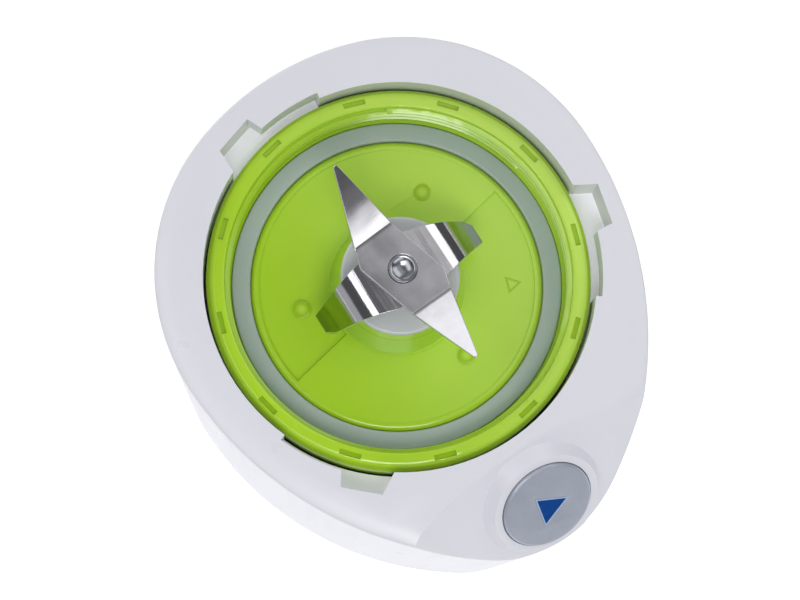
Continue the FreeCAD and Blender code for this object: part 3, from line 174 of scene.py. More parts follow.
def moulded(name, colour, roughness=0.3, grain=0.006, shade=0.95, painted_glow_level=None, **shader):
    """A moulded plastic: faint flow clouds, handling smudges and a fine mould texture.

    Given a floor level in mm, the floors there get a painted glow: an emission that brightens them
    as if more light reached into the wells.
    """
    finish = Finish(name, colour, **shader)
    # Painted light: the slot floors glow in the plastic's own colour, which brightens them.
    if painted_glow_level:
        level = finish.axes()[2] / MM
        well_reach, softness = 48.5, 0.2
        floor = level.step(painted_glow_level - 0.3, softness) - level.step(painted_glow_level + 0.2, softness)
        floor = floor * (1.0 - finish.reach().step(well_reach * MM, softness * MM))
        finish.set(emission_strength=0.3,
                   emission_color=finish.mix(floor.clamped(), (0.0, 0.0, 0.0), colour))
    clouds = finish.noise(35.0, 3.0)
    darker = tuple(part * shade for part in colour)
    smudge = finish.noise(140.0, 4.0, 0.6)
    ripple = finish.noise(2400.0, 2.0) + finish.noise(300.0, 1.0) * 1.5
    finish.set(base_color=finish.mix(clouds.step(0.5, 0.4), darker, colour),
               roughness=(smudge * 0.12 + (roughness - 0.06)).clamped())
    finish.bump(ripple, grain * MM)
    return finish.material


def crisp(mesh, angle):
    """Smooth shading that breaks where faces meet at more than the angle, in degrees."""
    mesh.shade_smooth()
    mesh.set_sharp_from_angle(angle=math.radians(angle))


def add_piece(name, mesh, body, material, nodes):
    """Put a finished mesh in the scene, on its body, in place of its CAD nodes."""
    piece = bpy.data.objects.new(name, mesh)
    bpy.context.scene.collection.objects.link(piece)
    mesh.materials.clear()
    mesh.materials.append(material)
    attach(piece, body)
    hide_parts(*nodes)
    return piece


def refined(node, name, body, material, width=0.2, segments=2, angle=32.0, shape=None):
    """The CAD node's shape as a merged mesh, its crisp edges rounded over by width."""
    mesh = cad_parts[node].data.copy()
    mesh.name = name
    shell = bmesh.new()
    shell.from_mesh(mesh)
    bmesh.ops.remove_doubles(shell, verts=shell.verts, dist=0.002 * MM)
    bmesh.ops.dissolve_limit(shell, angle_limit=math.radians(0.4), verts=shell.verts,
                             edges=shell.edges)
    if shape:
        shape(shell)
    shell.to_mesh(mesh)
    shell.free()
    crisp(mesh, angle)
    piece = add_piece(name, mesh, body, material, [node])
    bevel = piece.modifiers.new("rounded_edges", "BEVEL")
    bevel.width = width * MM
    bevel.segments = segments
    bevel.limit_method = "ANGLE"
    bevel.angle_limit = math.radians(angle)
    bevel.harden_normals = True
    return piece


SLOT_FLOOR = 106.5
# SLOT_FLOOR is the level of the slot floors that get the painted glow.
white_abs = moulded("white_abs", (0.80, 0.80, 0.86), 0.3, 0.0015, 0.985, SLOT_FLOOR, ior=1.49,
                    subsurface_weight=0.08, subsurface_scale=0.002)
refined("housing_shell", "white_housing", "base", white_abs, 0.35, 3)

# ---------------------------------------------------------------------------
# Base plate. A flat grey moulding that closes the bottom of the housing, with seven
# air slots under the motor and two rails that hold the control board on edge. It is
# held up by four screws that run into long posts in the housing.
# ---------------------------------------------------------------------------
grey_matte = moulded("grey_matte", (0.34, 0.35, 0.37), 0.48, 0.012, 0.9)
refined("base_plate", "bottom_cover", "base", grey_matte, 0.25)

# ---------------------------------------------------------------------------
# Screws. Slotted pan-head steel screws, zinc plated and thread-rolled: four hold the
# base plate, four clamp the motor's brackets to its stack, four hang the motor from the
# housing and two small ones hold the button's board.
# ---------------------------------------------------------------------------


class Grower(Graph):
    """A geometry-node tree with named inputs that grows a repeated or curved piece."""

    KINDS = {float: "NodeSocketFloat", int: "NodeSocketInt", Vector: "NodeSocketVector",
             bpy.types.Object: "NodeSocketObject", bpy.types.Material: "NodeSocketMaterial"}

    def __init__(self, name, **kinds):
        super().__init__(bpy.data.node_groups.new(name, "GeometryNodeTree"))
        doors = self.tree.interface
        doors.new_socket(name="Geometry", in_out="INPUT", socket_type="NodeSocketGeometry")
        self.keys = {}
        for label, kind in {**kinds, "Finish": bpy.types.Material}.items():
            door = doors.new_socket(name=label, in_out="INPUT", socket_type=self.KINDS[kind])
            self.keys[label] = door.identifier
        doors.new_socket(name="Geometry", in_out="OUTPUT", socket_type="NodeSocketGeometry")
        self.given = self.tree.nodes.new("NodeGroupInput").outputs

    def wire(self, label):
        return Wire(self, self.given[label])

    def tube(self, curve, radius, sides):
        """A round wire along a curve, with closed ends."""
        ring = self.add("GeometryNodeCurvePrimitiveCircle", None, {
            "Resolution": sides, "Radius": radius})
        return self.add("GeometryNodeCurveToMesh", None, {
            0: curve, 1: ring.outputs[0], "Fill Caps": True}).outputs[0]

    def end(self, geometry):
        """Realize Instances and Set Material close every tree."""
        real = self.add("GeometryNodeRealizeInstances", None, {0: geometry})
        coated = self.add("GeometryNodeSetMaterial", None, {
            0: real.outputs[0], "Material": self.given["Finish"]})
        out = self.tree.nodes.new("NodeGroupOutput")
        self.feed(out.inputs[0], coated.outputs[0])

    def grow(self, name, spots, material, **values):
        """The tree's result as a plain mesh; spots are its starting vertices, in mm."""
        start = bpy.data.meshes.new(name)
        start.from_pydata([Vector(spot) * MM for spot in spots], [], [])
        holder = bpy.data.objects.new(name + "_growing", start)
        bpy.context.scene.collection.objects.link(holder)
        growth = holder.modifiers.new("growth", "NODES")
        growth.node_group = self.tree
        for label, value in {**values, "Finish": material}.items():
            growth[self.keys[label]] = value
        ready = holder.evaluated_get(bpy.context.evaluated_depsgraph_get())
        mesh = bpy.data.meshes.new_from_object(ready)
        mesh.name = name
        bpy.data.objects.remove(holder)
        bpy.data.meshes.remove(start)
        return mesh


def turned(name, profile, segments=48, closed=False):
    """A lathe-turned solid about +Z. The profile is (radius, height) in mm."""
    lathe = bmesh.new()
    rings = []
    for radius, height in profile:
        count = segments if radius > 0 else 1
        rings.append([lathe.verts.new((radius * MM * math.cos(math.tau * i / segments),
                                       radius * MM * math.sin(math.tau * i / segments),
                                       height * MM)) for i in range(count)])
    pairs = list(zip(rings, rings[1:] + rings[:1])) if closed else list(zip(rings, rings[1:]))
    for low, high in pairs:
        for i in range(segments):
            j = (i + 1) % segments
            corners = [low[i % len(low)], low[j % len(low)], high[j % len(high)],
                       high[i % len(high)]]
            lathe.faces.new(list(dict.fromkeys(corners)))
    bmesh.ops.recalc_face_normals(lathe, faces=lathe.faces)
    mesh = bpy.data.meshes.new(name)
    lathe.to_mesh(mesh)
    lathe.free()
    return mesh


def slotted(name, head, tall, shank, length, pitch):
    """A slotted pan-head screw: head free end at the origin, shank up +Z, in mm."""
    edge = tall * 0.3
    profile = [(0, 0), (head - edge, 0), (head - edge * 0.3, edge * 0.3), (head, edge),
               (head, tall - 0.1), (head - 0.1, tall), (shank, tall)]
    turns = int((length - 1.5) / pitch)
    for turn in range(turns):
        low = tall + 0.4 + turn * pitch
        profile += [(shank * 0.84, low + pitch * 0.1), (shank, low + pitch * 0.45),
                    (shank, low + pitch * 0.6), (shank * 0.84, low + pitch * 0.95)]
    profile += [(shank * 0.7, tall + length - 0.5), (0, tall + length)]
    screw = bpy.data.objects.new(name, turned(name, profile, 32))
    bpy.context.scene.collection.objects.link(screw)
    blade_gap = bmesh.new()
    sunk = Matrix.Translation((0, 0, -tall * MM * 0.5)) @ Matrix.Diagonal(
        (head * 2.4 * MM, 0.6 * MM, tall * 1.9 * MM, 1.0))
    bmesh.ops.create_cube(blade_gap, size=1.0, matrix=sunk)
    cutter_mesh = bpy.data.meshes.new(name + "_slot")
    blade_gap.to_mesh(cutter_mesh)
    blade_gap.free()
    cutter = bpy.data.objects.new(name + "_slot", cutter_mesh)
    bpy.context.scene.collection.objects.link(cutter)
    groove = screw.modifiers.new("slot", "BOOLEAN")
    groove.object = cutter
    groove.solver = "EXACT"
    ready = screw.evaluated_get(bpy.context.evaluated_depsgraph_get())
    mesh = bpy.data.meshes.new_from_object(ready)
    for spare in (screw, cutter):
        bpy.data.objects.remove(spare)
    crisp(mesh, 30)
    kept = bpy.data.objects.new(name, mesh)
    bpy.context.scene.collection.objects.link(kept)
    return kept


fasteners = Grower("fasteners", Fastener=bpy.types.Object, Aim=Vector, Seed=int, Turn=float)
aimed = fasteners.add("FunctionNodeAlignRotationToVector", {"axis": "Z"}, {
    "Vector": fasteners.given["Aim"]})
spin = fasteners.add("FunctionNodeRandomValue", {"data_type": "FLOAT"}, {
    "Max": fasteners.given["Turn"], "Seed": fasteners.given["Seed"]})
twist = fasteners.add("FunctionNodeAxisAngleToRotation", None, {
    "Axis": (0.0, 0.0, 1.0), "Angle": spin.outputs[1]})
placed = fasteners.add("FunctionNodeRotateRotation", {"rotation_space": "LOCAL"}, {
    0: aimed.outputs[0], 1: twist.outputs[0]})
model = fasteners.add("GeometryNodeObjectInfo", None, {
    "Object": fasteners.given["Fastener"], "As Instance": True})
copies = fasteners.add("GeometryNodeInstanceOnPoints", None, {
    "Points": fasteners.given["Geometry"], "Instance": model.outputs["Geometry"],
    "Rotation": placed.outputs[0]})
fasteners.end(copies.outputs[0])


def plated(name, colour, roughness, scratch=0.004):
    """A plated or bare metal: mottled brightness, and fine scratches in the gloss."""
    finish = Finish(name, colour, metallic=1.0)
    mottle = finish.noise(900.0, 3.0)
    dull = tuple(part * 0.78 for part in colour)
    scratches = finish.noise(500.0, 4.0, 0.7, finish.place(scale=(1.0, 9.0, 1.0)))
    finish.set(base_color=finish.mix(mottle.step(0.5, 0.5), dull, colour),
               roughness=(scratches * 0.25 + (roughness - 0.12)).clamped())
    finish.bump(scratches, scratch * MM)
    return finish.material


zinc = plated("zinc_plate", (0.66, 0.67, 0.68), 0.3)
FACET_OUT = Vector((0.0, -math.sqrt(0.5), math.sqrt(0.5)))
FACET_DOWN = Vector((0.0, -math.sqrt(0.5), -math.sqrt(0.5)))
BUTTON_BASE = Vector((0.0, -54.8, 107.5))
UPRIGHT = Vector((0.0, 0.0, 1.0))


def on_facet(outwards, along=0.0, across=0.0):
    """A point in the button's own frame, as a point of the row frame, in mm."""
    return BUTTON_BASE + FACET_OUT * outwards + FACET_DOWN * along + Vector((across, 0, 0))


screw_sets = [
    ("bottom_screws", "base_screws", (3.2, 1.6, 1.6, 12.0, 1.2), UPRIGHT,
     [(x, y, 2.7) for x, y in ((36.45, 22), (-36.45, 22), (22, -43), (-22, -43))]),
    ("stack_screws", "motor_bolts", (3.2, 2.4, 1.6, 64.0, 1.0), UPRIGHT,
     [(x, y, 9.6) for x in (-23.5, 23.5) for y in (-23.5, 23.5)]),
    ("hanger_screws", "mount_screws", (3.2, 2.2, 1.6, 13.5, 1.2), UPRIGHT,
     [(34, 0, 70.8), (-34, 0, 70.8), (0, 34, 70.8), (0, -34, 70.8)]),
    ("small_board_screws", "board_screws", (1.7, 1.2, 0.8, 4.6, 0.6), FACET_OUT,
     [on_facet(-12.8, 8.4, -6.5), on_facet(-12.8, 8.4, 6.5)]),
]
for seed, (name, node, sizes, aim, spots) in enumerate(screw_sets):
    model_screw = slotted(name + "_model", *sizes)
    mesh = fasteners.grow(name, spots, zinc, Fastener=model_screw, Aim=aim, Seed=seed, Turn=3.1)
    bpy.data.objects.remove(model_screw)
    add_piece(name, mesh, "base", zinc, [node])

# ---------------------------------------------------------------------------
# Rubber feet. Four moulded rubber buttons; each is pulled through a hole in the base
# plate until its barbed neck snaps through, and a shallow dish helps it grip the table.
# ---------------------------------------------------------------------------
dark_rubber = moulded("dark_rubber", (0.022, 0.022, 0.024), 0.62, 0.02, 0.8)
foot_model = bpy.data.objects.new("foot_model", turned("foot_model", [
    (0, 0.35), (3.6, 0.35), (4.3, 0.0), (5.9, 0.0), (6.3, 0.15), (6.5, 0.6), (6.4, 2.3),
    (6.2, 2.5), (2.5, 2.5), (2.5, 5.5), (3.6, 5.5), (3.5, 5.9), (2.6, 7.0), (0, 7.0)]))
crisp(foot_model.data, 35)
bpy.context.scene.collection.objects.link(foot_model)
foot_spots = [(27.05, 29, 0), (-27.05, 29, 0), (11, -50, 0), (-11, -50, 0)]
foot_mesh = fasteners.grow("feet", foot_spots, dark_rubber, Fastener=foot_model,
                           Aim=UPRIGHT, Seed=9, Turn=6.28)
bpy.data.objects.remove(foot_model)
add_piece("feet", foot_mesh, "base", dark_rubber, ["rubber_feet"])

# ---------------------------------------------------------------------------
# Cord gland. A soft black bush in the back wall, pushed in from outside so that its two
# flanges grip the wall; the mains cord would pass through its bore.
# ---------------------------------------------------------------------------
soft_black = moulded("soft_black", (0.014, 0.014, 0.016), 0.55, 0.012, 0.8)
refined("cord_gland", "cord_bush", "base", soft_black, 0.3, 3)

# ---------------------------------------------------------------------------
# Motor body. A universal motor: two die-cast brackets bolted through a stack of square
# steel laminations, two enamelled field coils in its windows, sintered bronze bearings,
# and four rubber rings that keep its hum out of the housing.
# ---------------------------------------------------------------------------


def cast(name, colour):
    """A die casting: pitted, dull in the hollows and brighter where it is proud."""
    finish = Finish(name, colour, metallic=0.9)
    skin = finish.noise(650.0, 5.0, 0.65)
    pits = finish.cells(1200.0)
    dull = tuple(part * 0.6 for part in colour)
    finish.set(base_color=finish.mix(skin.step(0.48, 0.35), dull, colour),
               roughness=(skin * 0.3 + 0.32).clamped())
    finish.bump(skin + pits * 0.5, 0.05 * MM)
    return finish.material


def laminated(name, colour, pitch):
    """Punched sheets seen on edge: a dark line every pitch, in mm, along Z."""
    finish = Finish(name, colour, metallic=0.85)
    height = finish.axes()[2]
    stripe = height.math("FRACT", height / (pitch * MM))
    line = (stripe - 0.5).math("ABSOLUTE", stripe - 0.5).step(0.42, 0.1)
    rust = finish.noise(220.0, 4.0, 0.6)
    dull = tuple(part * 0.3 for part in colour)
    finish.set(base_color=finish.mix((line * 0.8 + rust.step(0.62, 0.15) * 0.3).clamped(),
                                     colour, dull), roughness=(rust * 0.3 + 0.3).clamped())
    finish.bump(line * -1.0, 0.06 * MM)
    return finish.material


aluminium = cast("cast_alloy", (0.52, 0.53, 0.55))
stack_steel = laminated("stack_steel", (0.28, 0.29, 0.31), 0.65)
refined("upper_bracket", "top_bracket", "base", aluminium, 0.3)
refined("lower_bracket", "bottom_bracket", "base", aluminium, 0.3)
refined("motor_stator", "field_stack", "base", stack_steel, 0.15)
refined("motor_mounts", "mount_rings", "base", dark_rubber, 0.4, 3)


def sintered(name, colour):
    """Pressed bronze powder: fine open pores that hold dark oil."""
    finish = Finish(name, colour, metallic=0.95)
    pores = finish.cells(2600.0).step(0.28, 0.12)
    oil = finish.noise(160.0, 3.0)
    finish.set(base_color=finish.mix(pores, tuple(part * 0.35 for part in colour), colour),
               roughness=(oil * 0.3 + 0.2).clamped())
    finish.bump(pores, 0.02 * MM)
    return finish.material


bronze = sintered("sintered_bronze", (0.50, 0.34, 0.14))
refined("upper_bearing", "top_bearing", "base", bronze, 0.3)
refined("lower_bearing", "bottom_bearing", "base", bronze, 0.3)


def enamelled(name, colour):
    """Copper wire under clear enamel, redder where the varnish pooled."""
    finish = Finish(name, colour, metallic=0.85, coat_weight=0.6, coat_roughness=0.12)
    pooled = finish.noise(260.0, 3.0)
    finish.set(base_color=finish.mix(pooled.step(0.55, 0.3), colour,
                                     tuple(part * 0.45 for part in colour)),
               roughness=(pooled * 0.2 + 0.18).clamped())
    finish.bump(finish.noise(1800.0, 1.0), 0.01 * MM)
    return finish.material


copper = enamelled("enamelled_copper", (0.62, 0.24, 0.09))

# Each turn of a coil starts from one vertex: x is how far out its layer lies, y its place.
winder = Grower("coil_winder", Width=float, Height=float, Corner=float, Gauge=float, Level=float)
loop = winder.add("GeometryNodeCurvePrimitiveQuadrilateral", None, {
    "Width": winder.given["Width"], "Height": winder.given["Height"]})
eased = winder.add("GeometryNodeFilletCurve", {"mode": "POLY"}, {
    "Curve": loop.outputs[0], "Count": 5, "Radius": winder.given["Corner"]})
upright = winder.add("GeometryNodeTransform", None, {
    "Geometry": eased.outputs[0], "Rotation": (math.pi / 2, 0.0, 0.0)})
spot = winder.add("GeometryNodeInputPosition").outputs[0]
spot_x = Wire(winder, winder.add("ShaderNodeSeparateXYZ", None, {0: spot}).outputs[0])
stretch_x = (winder.wire("Width") + spot_x * 2.0) / winder.wire("Width")
stretch_z = (winder.wire("Height") + spot_x * 2.0) / winder.wire("Height")
stretch = winder.add("ShaderNodeCombineXYZ", None, {0: stretch_x, 1: 1.0, 2: stretch_z})
turns = winder.add("GeometryNodeInstanceOnPoints", None, {
    "Points": winder.given["Geometry"], "Instance": upright.outputs[0],
    "Scale": stretch.outputs[0]})
shift = winder.add("ShaderNodeCombineXYZ", None, {
    0: spot_x * -1.0, 1: 0.0, 2: winder.given["Level"]})
seated = winder.add("GeometryNodeSetPosition", None, {
    "Geometry": turns.outputs[0], "Offset": shift.outputs[0]})
laid = winder.add("GeometryNodeRealizeInstances", None, {0: seated.outputs[0]})
winder.end(winder.tube(laid.outputs[0], winder.given["Gauge"], 6))
layers = 9
gauge = 5.5 / layers
coil_spots = [(gauge * (layer + 0.5), side * 17.25 + gauge * (row - (layers - 1) / 2), 0)
              for side in (-1, 1) for layer in range(layers) for row in range(layers)
              if layer in (0, layers - 1) or row in (0, layers - 1)]
coil_mesh = winder.grow("field_windings", coil_spots, copper, Width=31 * MM, Height=24 * MM,
                        Corner=1.2 * MM, Gauge=gauge * 0.5 * MM, Level=46 * MM)
crisp(coil_mesh, 60)
add_piece("field_windings", coil_mesh, "base", copper, ["field_coils"])

# ---------------------------------------------------------------------------
# Brush gear. Two pressed brass boxes on the lower bracket, each with a carbon brush that
# a small coil spring presses on the commutator.
# ---------------------------------------------------------------------------
brass = plated("pressed_brass", (0.60, 0.42, 0.16), 0.32)
refined("brush_holders", "brush_boxes", "base", brass, 0.3)
carbon = Finish("carbon_block", (0.02, 0.02, 0.022))
flake = carbon.noise(1500.0, 4.0, 0.7)
carbon.set(base_color=carbon.mix(flake.step(0.6, 0.1), (0.012, 0.012, 0.013), (0.06, 0.06, 0.065)),
           roughness=(flake * 0.3 + 0.4).clamped())
carbon.bump(flake, 0.02 * MM)
refined("carbon_brushes", "brush_blocks", "base", carbon.material, 0.2)

coiler = Grower("coil_spring", Radius=float, Gauge=float, Length=float, Turns=float)
spiral = coiler.add("GeometryNodeCurveSpiral", None, {
    "Resolution": 28, "Rotations": coiler.given["Turns"], "Start Radius": coiler.given["Radius"],
    "End Radius": coiler.given["Radius"], "Height": coiler.given["Length"], "Reverse": False})
share = coiler.add("GeometryNodeSplineParameter").outputs["Factor"]
# A slow sine takes pitch from the two ends, which are wound nearly closed.
ends = Wire(coiler, share).math("SINE", Wire(coiler, share) * math.tau)
lift = coiler.add("ShaderNodeCombineXYZ", None, {
    2: ends * coiler.wire("Length") * -0.07})
eased_ends = coiler.add("GeometryNodeSetPosition", None, {
    "Geometry": spiral.outputs[0], "Offset": lift.outputs[0]})
coiler.end(coiler.tube(eased_ends.outputs[0], coiler.given["Gauge"], 10))
spring_wire = plated("spring_wire", (0.46, 0.47, 0.49), 0.28)


def coiled(name, radius, gauge, length, turns, aim, start):
    """A coil spring from start along aim; all sizes in mm."""
    mesh = coiler.grow(name, [(0, 0, 0)], spring_wire, Radius=radius * MM, Gauge=gauge * MM,
                       Length=(length - 2 * gauge) * MM, Turns=float(turns))
    aim = Vector(aim).normalized()
    turn = aim.to_track_quat("Z", "Y").to_matrix().to_4x4()
    mesh.transform(Matrix.Translation((Vector(start) + aim * gauge) * MM) @ turn)
    crisp(mesh, 70)
    return mesh


def joined(name, meshes):
    """Several meshes as one."""
    whole = bmesh.new()
    for mesh in meshes:
        whole.from_mesh(mesh)
        bpy.data.meshes.remove(mesh)
    mesh = bpy.data.meshes.new(name)
    whole.to_mesh(mesh)
    whole.free()
    return mesh


brush_coils = joined("brush_coils", [
    coiled(f"brush_coil_{side}", 1.25, 0.2, 4.4, 6, (side, 0, 0), (side * 17.2, 0, 23.3))
    for side in (-1, 1)])
crisp(brush_coils, 70)
add_piece("brush_coils", brush_coils, "base", spring_wire, ["brush_springs"])

# ---------------------------------------------------------------------------
# Rotor. A ground steel shaft with the armature's slotted core and its varnished end
# windings, a copper-bar commutator, a moulded cooling fan, and the ribbed rubbery
# coupler on top, held down by a nut.
# ---------------------------------------------------------------------------


def ground(name, colour, roughness):
    """Ground or brushed steel: hairline streaks round its own axis."""
    finish = Finish(name, colour, metallic=1.0)
    streaks = finish.noise(400.0, 3.0, 0.6, finish.place(scale=(1.0, 1.0, 14.0)))
    finish.set(base_color=finish.mix(streaks.step(0.5, 0.6), tuple(part * 0.85 for part in colour),
                                     colour),
               roughness=(streaks * 0.2 + (roughness - 0.1)).clamped())
    finish.bump(streaks, 0.004 * MM)
    return finish.material


shaft_steel = ground("shaft_steel", (0.56, 0.57, 0.59), 0.26)
refined("motor_shaft", "drive_shaft", "rotor", shaft_steel, 0.2)
refined("armature_core", "slotted_core", "rotor", stack_steel, 0.15)

bundler = Grower("end_winding", Ring=float, Thick=float, Tall=float, Gauge=float, Count=int,
                 Lean=float)
hub_ring = bundler.add("GeometryNodeCurvePrimitiveCircle", None, {
    "Resolution": 96, "Radius": bundler.given["Ring"]})
stations = bundler.add("GeometryNodeCurveToPoints", {"mode": "COUNT"}, {
    "Curve": hub_ring.outputs[0], "Count": bundler.given["Count"]})
hoop = bundler.add("GeometryNodeCurvePrimitiveCircle", None, {"Resolution": 20, "Radius": 1.0})
leaned = bundler.add("FunctionNodeRotateRotation", {"rotation_space": "LOCAL"}, {
    0: stations.outputs["Rotation"], 1: bundler.add(
        "FunctionNodeAxisAngleToRotation", None,
        {"Axis": (0.0, 1.0, 0.0), "Angle": bundler.given["Lean"]}).outputs[0]})
oval = bundler.add("ShaderNodeCombineXYZ", None, {
    0: bundler.given["Thick"], 1: bundler.given["Tall"], 2: 1.0})
hoops = bundler.add("GeometryNodeInstanceOnPoints", None, {
    "Points": stations.outputs[0], "Instance": hoop.outputs[0],
    "Rotation": leaned.outputs[0], "Scale": oval.outputs[0]})
strung = bundler.add("GeometryNodeRealizeInstances", None, {0: hoops.outputs[0]})
bundler.end(bundler.tube(strung.outputs[0], bundler.given["Gauge"], 5))
bundles = []
wound_half, inner_wrap, outer_wrap = 2.3, 6.6, 13.0
for name, level in (("high_bundle", 60.8), ("low_bundle", 31.2)):
    bundle = bundler.grow(name, [(0, 0, 0)], copper, Ring=9.75 * MM, Thick=wound_half * MM,
                          Tall=wound_half * MM, Gauge=0.3 * MM, Count=96, Lean=0.5)
    bundle.transform(Matrix.Translation((0, 0, level * MM)))
    low, high = level - wound_half, level + wound_half
    core = turned(name + "_varnish", [
        (inner_wrap, low), (outer_wrap, low), (outer_wrap, high - 0.5), (outer_wrap - 0.6, high),
        (inner_wrap + 0.6, high), (inner_wrap, high - 0.5)], 64, True)
    bundles += [bundle, core]
winding_mesh = joined("end_bundles", bundles)
crisp(winding_mesh, 60)
add_piece("end_bundles", winding_mesh, "rotor", copper, ["armature_winding"])

bar_copper = plated("bar_copper", (0.62, 0.30, 0.16), 0.25)
bar_count = 24
bar_half = math.pi / bar_count - 0.022
bar = bmesh.new()
bar_ring = [(radius, angle) for radius, angle in (
    (4.0, -bar_half), (9.0, -bar_half), (9.0, 0.0), (9.0, bar_half), (4.0, bar_half))]
bar_floor = [bar.verts.new((r * MM * math.cos(a), r * MM * math.sin(a), 0)) for r, a in bar_ring]
bar_base = bar.faces.new(bar_floor)
raised_bar = bmesh.ops.extrude_face_region(bar, geom=[bar_base])
bmesh.ops.translate(bar, vec=(0, 0, 7.5 * MM),
                    verts=[v for v in raised_bar["geom"] if isinstance(v, bmesh.types.BMVert)])
bmesh.ops.recalc_face_normals(bar, faces=bar.faces)
bar_mesh = bpy.data.meshes.new("bar_model")
bar.to_mesh(bar_mesh)
bar.free()
bar_model = bpy.data.objects.new("bar_model", bar_mesh)
bpy.context.scene.collection.objects.link(bar_model)

rounder = Grower("round_array", Item=bpy.types.Object, Count=int, Level=float)
axis_point = rounder.add("GeometryNodePoints", None, {"Count": rounder.given["Count"]})
turn_by = rounder.wire("Count").math("DIVIDE", math.tau, rounder.wire("Count"))
index = Wire(rounder, rounder.add("GeometryNodeInputIndex").outputs[0])
face_round = rounder.add("FunctionNodeAxisAngleToRotation", None, {
    "Axis": (0.0, 0.0, 1.0), "Angle": index * turn_by})
item = rounder.add("GeometryNodeObjectInfo", None, {
    "Object": rounder.given["Item"], "As Instance": True})
ringed = rounder.add("GeometryNodeInstanceOnPoints", None, {
    "Points": axis_point.outputs[0], "Instance": item.outputs["Geometry"],
    "Rotation": face_round.outputs[0]})
raise_by = rounder.add("ShaderNodeCombineXYZ", None, {2: rounder.given["Level"]})
raised_ring = rounder.add("GeometryNodeSetPosition", None, {
    "Geometry": ringed.outputs[0], "Offset": raise_by.outputs[0]})
rounder.end(raised_ring.outputs[0])
bars = rounder.grow("commutator_bars", [(0, 0, 0)], bar_copper, Item=bar_model,
                    Count=bar_count, Level=19.6 * MM)
bpy.data.objects.remove(bar_model)
crisp(bars, 40)
add_piece("commutator_bars", bars, "rotor", bar_copper, ["commutator"])

black_nylon = moulded("black_nylon", (0.018, 0.018, 0.02), 0.42, 0.01, 0.8)
refined("cooling_fan", "fan_wheel", "rotor", black_nylon, 0.25)
refined("drive_coupler", "lower_coupler", "rotor", black_nylon, 0.4, 3)
refined("coupler_nut", "shaft_nut", "rotor", zinc, 0.3)

# ---------------------------------------------------------------------------
# Electrics. A phenolic control board stands on edge in the base plate's rails and
# carries a film capacitor, a relay and a three-way terminal block; it takes the cord's
# leads and feeds the motor.
# ---------------------------------------------------------------------------


def board_finish(name):
    """Green solder mask over wandering copper tracks, with a scatter of solder dots."""
    finish = Finish(name, (0.03, 0.16, 0.07), ior=1.5)
    lanes = finish.add("ShaderNodeTexVoronoi", {"feature": "F1", "distance": "CHEBYCHEV"}, {
        "Vector": finish.place(), "Scale": 260.0})
    lane = Wire(finish, lanes.outputs["Distance"])
    track = lane.step(0.3, 0.04) - lane.step(0.42, 0.04)
    dots = 1.0 - finish.cells(420.0).step(0.22, 0.05)
    tint = finish.mix(track.clamped(), (0.02, 0.13, 0.055), (0.06, 0.26, 0.10))
    finish.set(base_color=finish.mix(dots * 0.9, tint, (0.6, 0.6, 0.6)), metallic=dots * 0.9,
               roughness=(finish.noise(300.0) * 0.2 + 0.25).clamped())
    finish.bump(track + dots * 2.0, 0.03 * MM)
    return finish.material


fr4 = board_finish("board_green")
refined("control_board", "main_board", "base", fr4, 0.1)
refined("suppression_capacitor", "film_capacitor", "base", grey_matte, 0.5, 3)
refined("relay", "power_relay", "base", black_nylon, 0.4, 3)
refined("terminal_block", "cord_terminals", "base", grey_matte, 0.3)

# ---------------------------------------------------------------------------
# Start button. A silver-painted cap with a blue triangle let into its face, guided by a
# central stem in the housing's cup, returned by a coil spring and kept in by a clip;
# under it a plunger presses a small switch on its own board.
# ---------------------------------------------------------------------------


def silver_paint(name):
    """Metallic paint: fine bright flakes under a thin, slightly uneven clear coat."""
    finish = Finish(name, (0.40, 0.43, 0.51), metallic=0.35, coat_weight=0.35,
                    coat_roughness=0.25)
    flakes = finish.cells(5200.0)
    cloud = finish.noise(160.0, 3.0)
    tint = finish.mix(cloud.step(0.5, 0.5), (0.36, 0.39, 0.47), (0.43, 0.46, 0.54))
    finish.set(base_color=finish.mix((1.0 - flakes.step(0.25, 0.15)) * 0.5, tint,
                                     (0.62, 0.65, 0.72)),
               roughness=(cloud * 0.15 + 0.34).clamped())
    finish.bump(flakes, 0.004 * MM)
    return finish.material


ICON_SIDE, ICON_DROP, ICON_TURN, ICON_INNER = 0.1, 0.6, -4, 2.05


def inlay(name):
    """Blue gloss ink with a thin pale border, drawn by distance from the three sides."""
    blue = (0.0, 0.055, 0.27)
    finish = Finish(name, blue, ior=1.2)
    face = finish.place(centre=tuple(BUTTON_BASE * MM))
    across = finish.axes(centre=tuple(BUTTON_BASE * MM))[0] - ICON_SIDE * MM
    rise = finish.add("ShaderNodeVectorMath", {"operation": "DOT_PRODUCT"}, {
        0: face, 1: tuple(-FACET_DOWN)})
    upslope = Wire(finish, rise.outputs["Value"]) + ICON_DROP * MM
    farthest = None
    for corner in range(3):
        side = math.radians(ICON_TURN + 60 + 120 * corner)
        reach = across * math.cos(side) + upslope * math.sin(side)
        farthest = reach if farthest is None else reach.math("MAXIMUM", reach, farthest)
    border = farthest.step(ICON_INNER * MM, 0.12 * MM)
    finish.set(base_color=finish.mix(border, blue, (0.40, 0.52, 0.68)),
               roughness=(finish.noise(400.0) * 0.15 + 0.22).clamped())
    finish.bump(finish.noise(900.0), 0.01 * MM)
    return finish.material


silver = silver_paint("silver_paint")
refined("button_cap", "start_cap", "button", silver, 0.15)
refined("button_icon", "start_mark", "button", inlay("blue_ink"), 0.05)
refined("button_clip", "stem_clip", "button", spring_wire, 0.1)
refined("switch_plunger", "press_pin", "button", black_nylon, 0.2)
refined("button_board", "small_board", "base", fr4, 0.1)
refined("start_switch", "micro_switch", "base", black_nylon, 0.2)
cup_floor, spring_length, travel = -4.2, 6.3, 1.2
return_mesh = coiled("return_spring", 4.4, 0.35, spring_length, 4, FACET_OUT, on_facet(cup_floor))
return_spring = add_piece("return_spring", return_mesh, "base", spring_wire,
                          ["button_spring"])
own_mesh(return_spring)

